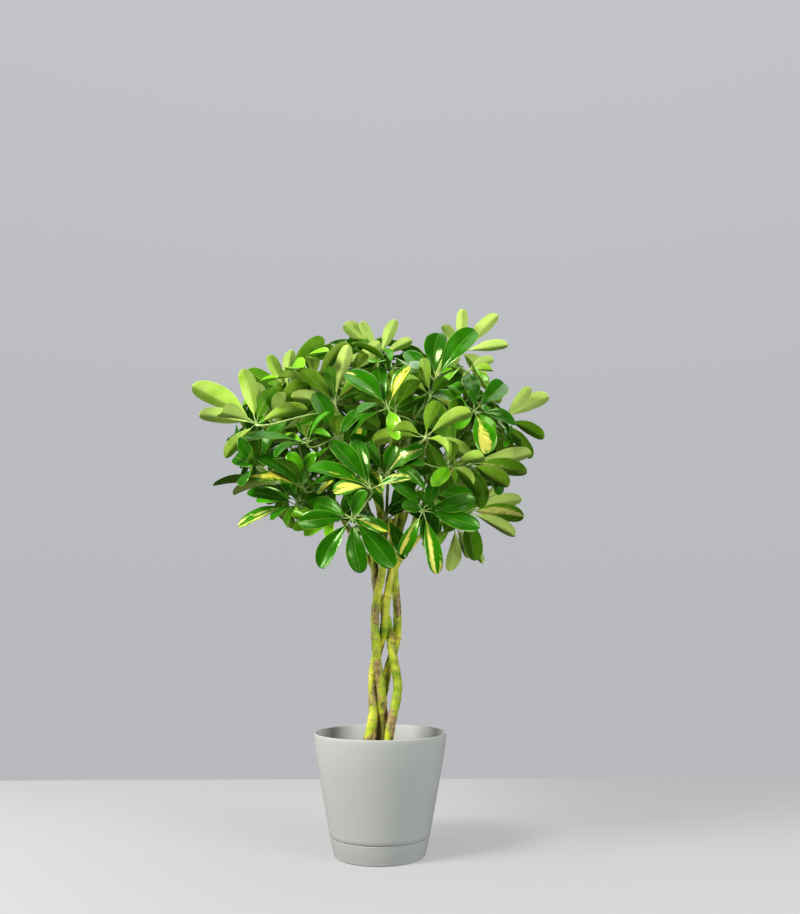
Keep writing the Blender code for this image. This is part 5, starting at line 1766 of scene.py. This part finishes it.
def build_stage():
    """A pale floor that ends where the photograph's wall starts, and the wall's tone all round, lighter
    higher up by painted light.
    """
    mesh = bpy.data.meshes.new("studio_floor")
    size = 7.0
    corners = [(-size, -size, 0), (size, -size, 0), (size, FLOOR_END, 0), (-size, FLOOR_END, 0)]
    mesh.from_pydata(corners, [], [(0, 1, 2, 3)])
    floor = bpy.data.objects.new("studio_floor", mesh)
    bpy.context.scene.collection.objects.link(floor)
    n = Nodes("floor_paint")
    n.shade(base_color=(*FLOOR_COLOUR, 1.0), roughness=0.9)
    n.shade(emission_color=(*FLOOR_GLOW, 1.0), emission_strength=1.0)
    n.shader.inputs["Specular IOR Level"].default_value = 0.1
    mesh.materials.append(n.made)
    floor.visible_diffuse = False
    floor.visible_glossy = False
    world = bpy.data.worlds.new("wall_tone")
    bpy.context.scene.world = world
    world.use_nodes = True
    background = world.node_tree.nodes["Background"]
    place = world.node_tree.nodes.new("ShaderNodeTexCoord")
    split = world.node_tree.nodes.new("ShaderNodeSeparateXYZ")
    ramp = world.node_tree.nodes.new("ShaderNodeValToRGB")
    link(world.node_tree, place.outputs["Generated"], split.inputs[0])
    link(world.node_tree, split.outputs[2], ramp.inputs[0])
    seen = world.node_tree.nodes.new("ShaderNodeLightPath")
    choice = world.node_tree.nodes.new("ShaderNodeMix")
    choice.data_type = "RGBA"
    choice.inputs[6].default_value = (*AMBIENT, 1.0)
    link(world.node_tree, seen.outputs["Is Camera Ray"], choice.inputs[0])
    link(world.node_tree, ramp.outputs[0], choice.inputs[7])
    link(world.node_tree, choice.outputs[2], background.inputs["Color"])
    # Painted light: the wall's tone grows lighter higher up.
    stops = WALL_TONES_WITH_PAINTED_LIGHT
    while len(ramp.color_ramp.elements) < len(stops):
        ramp.color_ramp.elements.new(0.5)
    for element, (height, colour) in zip(ramp.color_ramp.elements, stops):
        element.position = height
        element.color = (*colour, 1.0)
    background.inputs["Strength"].default_value = 1.0


def add_lamp(name, place, target, size, power, colour):
    lamp = bpy.data.lights.new(name, "AREA")
    lamp.shape = "DISK"
    lamp.size = size
    lamp.energy = power
    lamp.color = colour
    obj = bpy.data.objects.new(name, lamp)
    bpy.context.scene.collection.objects.link(obj)
    obj.location = place
    obj.rotation_euler = (Vector(target) - Vector(place)).to_track_quat("-Z", "Y").to_euler()


def build_lights():
    for name, place, target, size, power, colour in LAMPS:
        add_lamp(name, place, target, size, power, colour)


def build_camera():
    """The photograph's view point, worked out from the pot's rim, seam and foot."""
    scene = bpy.context.scene
    camera = bpy.data.cameras.new("photo_camera")
    camera.sensor_width = 36.0
    camera.lens = 36.0 * FOCAL_PIXELS / FRAME_HEIGHT
    camera.clip_start = 0.05
    camera.clip_end = 60.0
    obj = bpy.data.objects.new("photo_camera", camera)
    scene.collection.objects.link(obj)
    ahead = aim(180 - math.degrees(VIEW_YAW), math.degrees(VIEW_PITCH))
    obj.location = (0.0, -VIEW_DISTANCE, VIEW_HEIGHT)
    obj.rotation_euler = ahead.to_track_quat("-Z", "Y").to_euler()
    scene.camera = obj
    scene.view_settings.view_transform = "Standard"


def main():
    stems = {name: stem_points(route) for name, route in STEM_ROUTES.items()}
    shoots, leaves, space = plan_crown(stems)
    rng = random.Random(FILL_SEED)
    plan_fine_leaves(shoots, leaves, space, rng)
    collection = new_collection("potted_schefflera")
    plastic = plastic_material()
    build_fine_saucer(collection, plastic)
    build_fine_pot(collection, plastic)
    build_fine_soil(soil_material(), rng)
    bark = bark_material("green_bark", BARK_GREENS, BARK_BROWN, SCAR_COLOUR)
    build_fine_stems(stems, shoots, bark, rng)
    upper = leaf_material("leaf_upper", UPPER_GREENS, UPPER_YELLOWS, 0.08, UPPER_VEINS, 0.22, 0.7, 0.5, 0.42)
    # The undersides' pale greens are partly painted light shining through the thin blade.
    under = leaf_material("leaf_under", UNDER_GREENS_AND_PAINTED_GLOW, UNDER_YELLOWS, 0.44, UNDER_VEINS, 0.4, 0.55, 0.42, 0.2)
    twig = bark_material("twig_bark", TWIG_GREENS, BARK_BROWN, SCAR_COLOUR)
    build_fine_shoots(shoots, [upper, under, stalk_material(), twig], rng)
    build_stage()
    build_lights()
    build_camera()
    bpy.context.view_layer.update()


main()
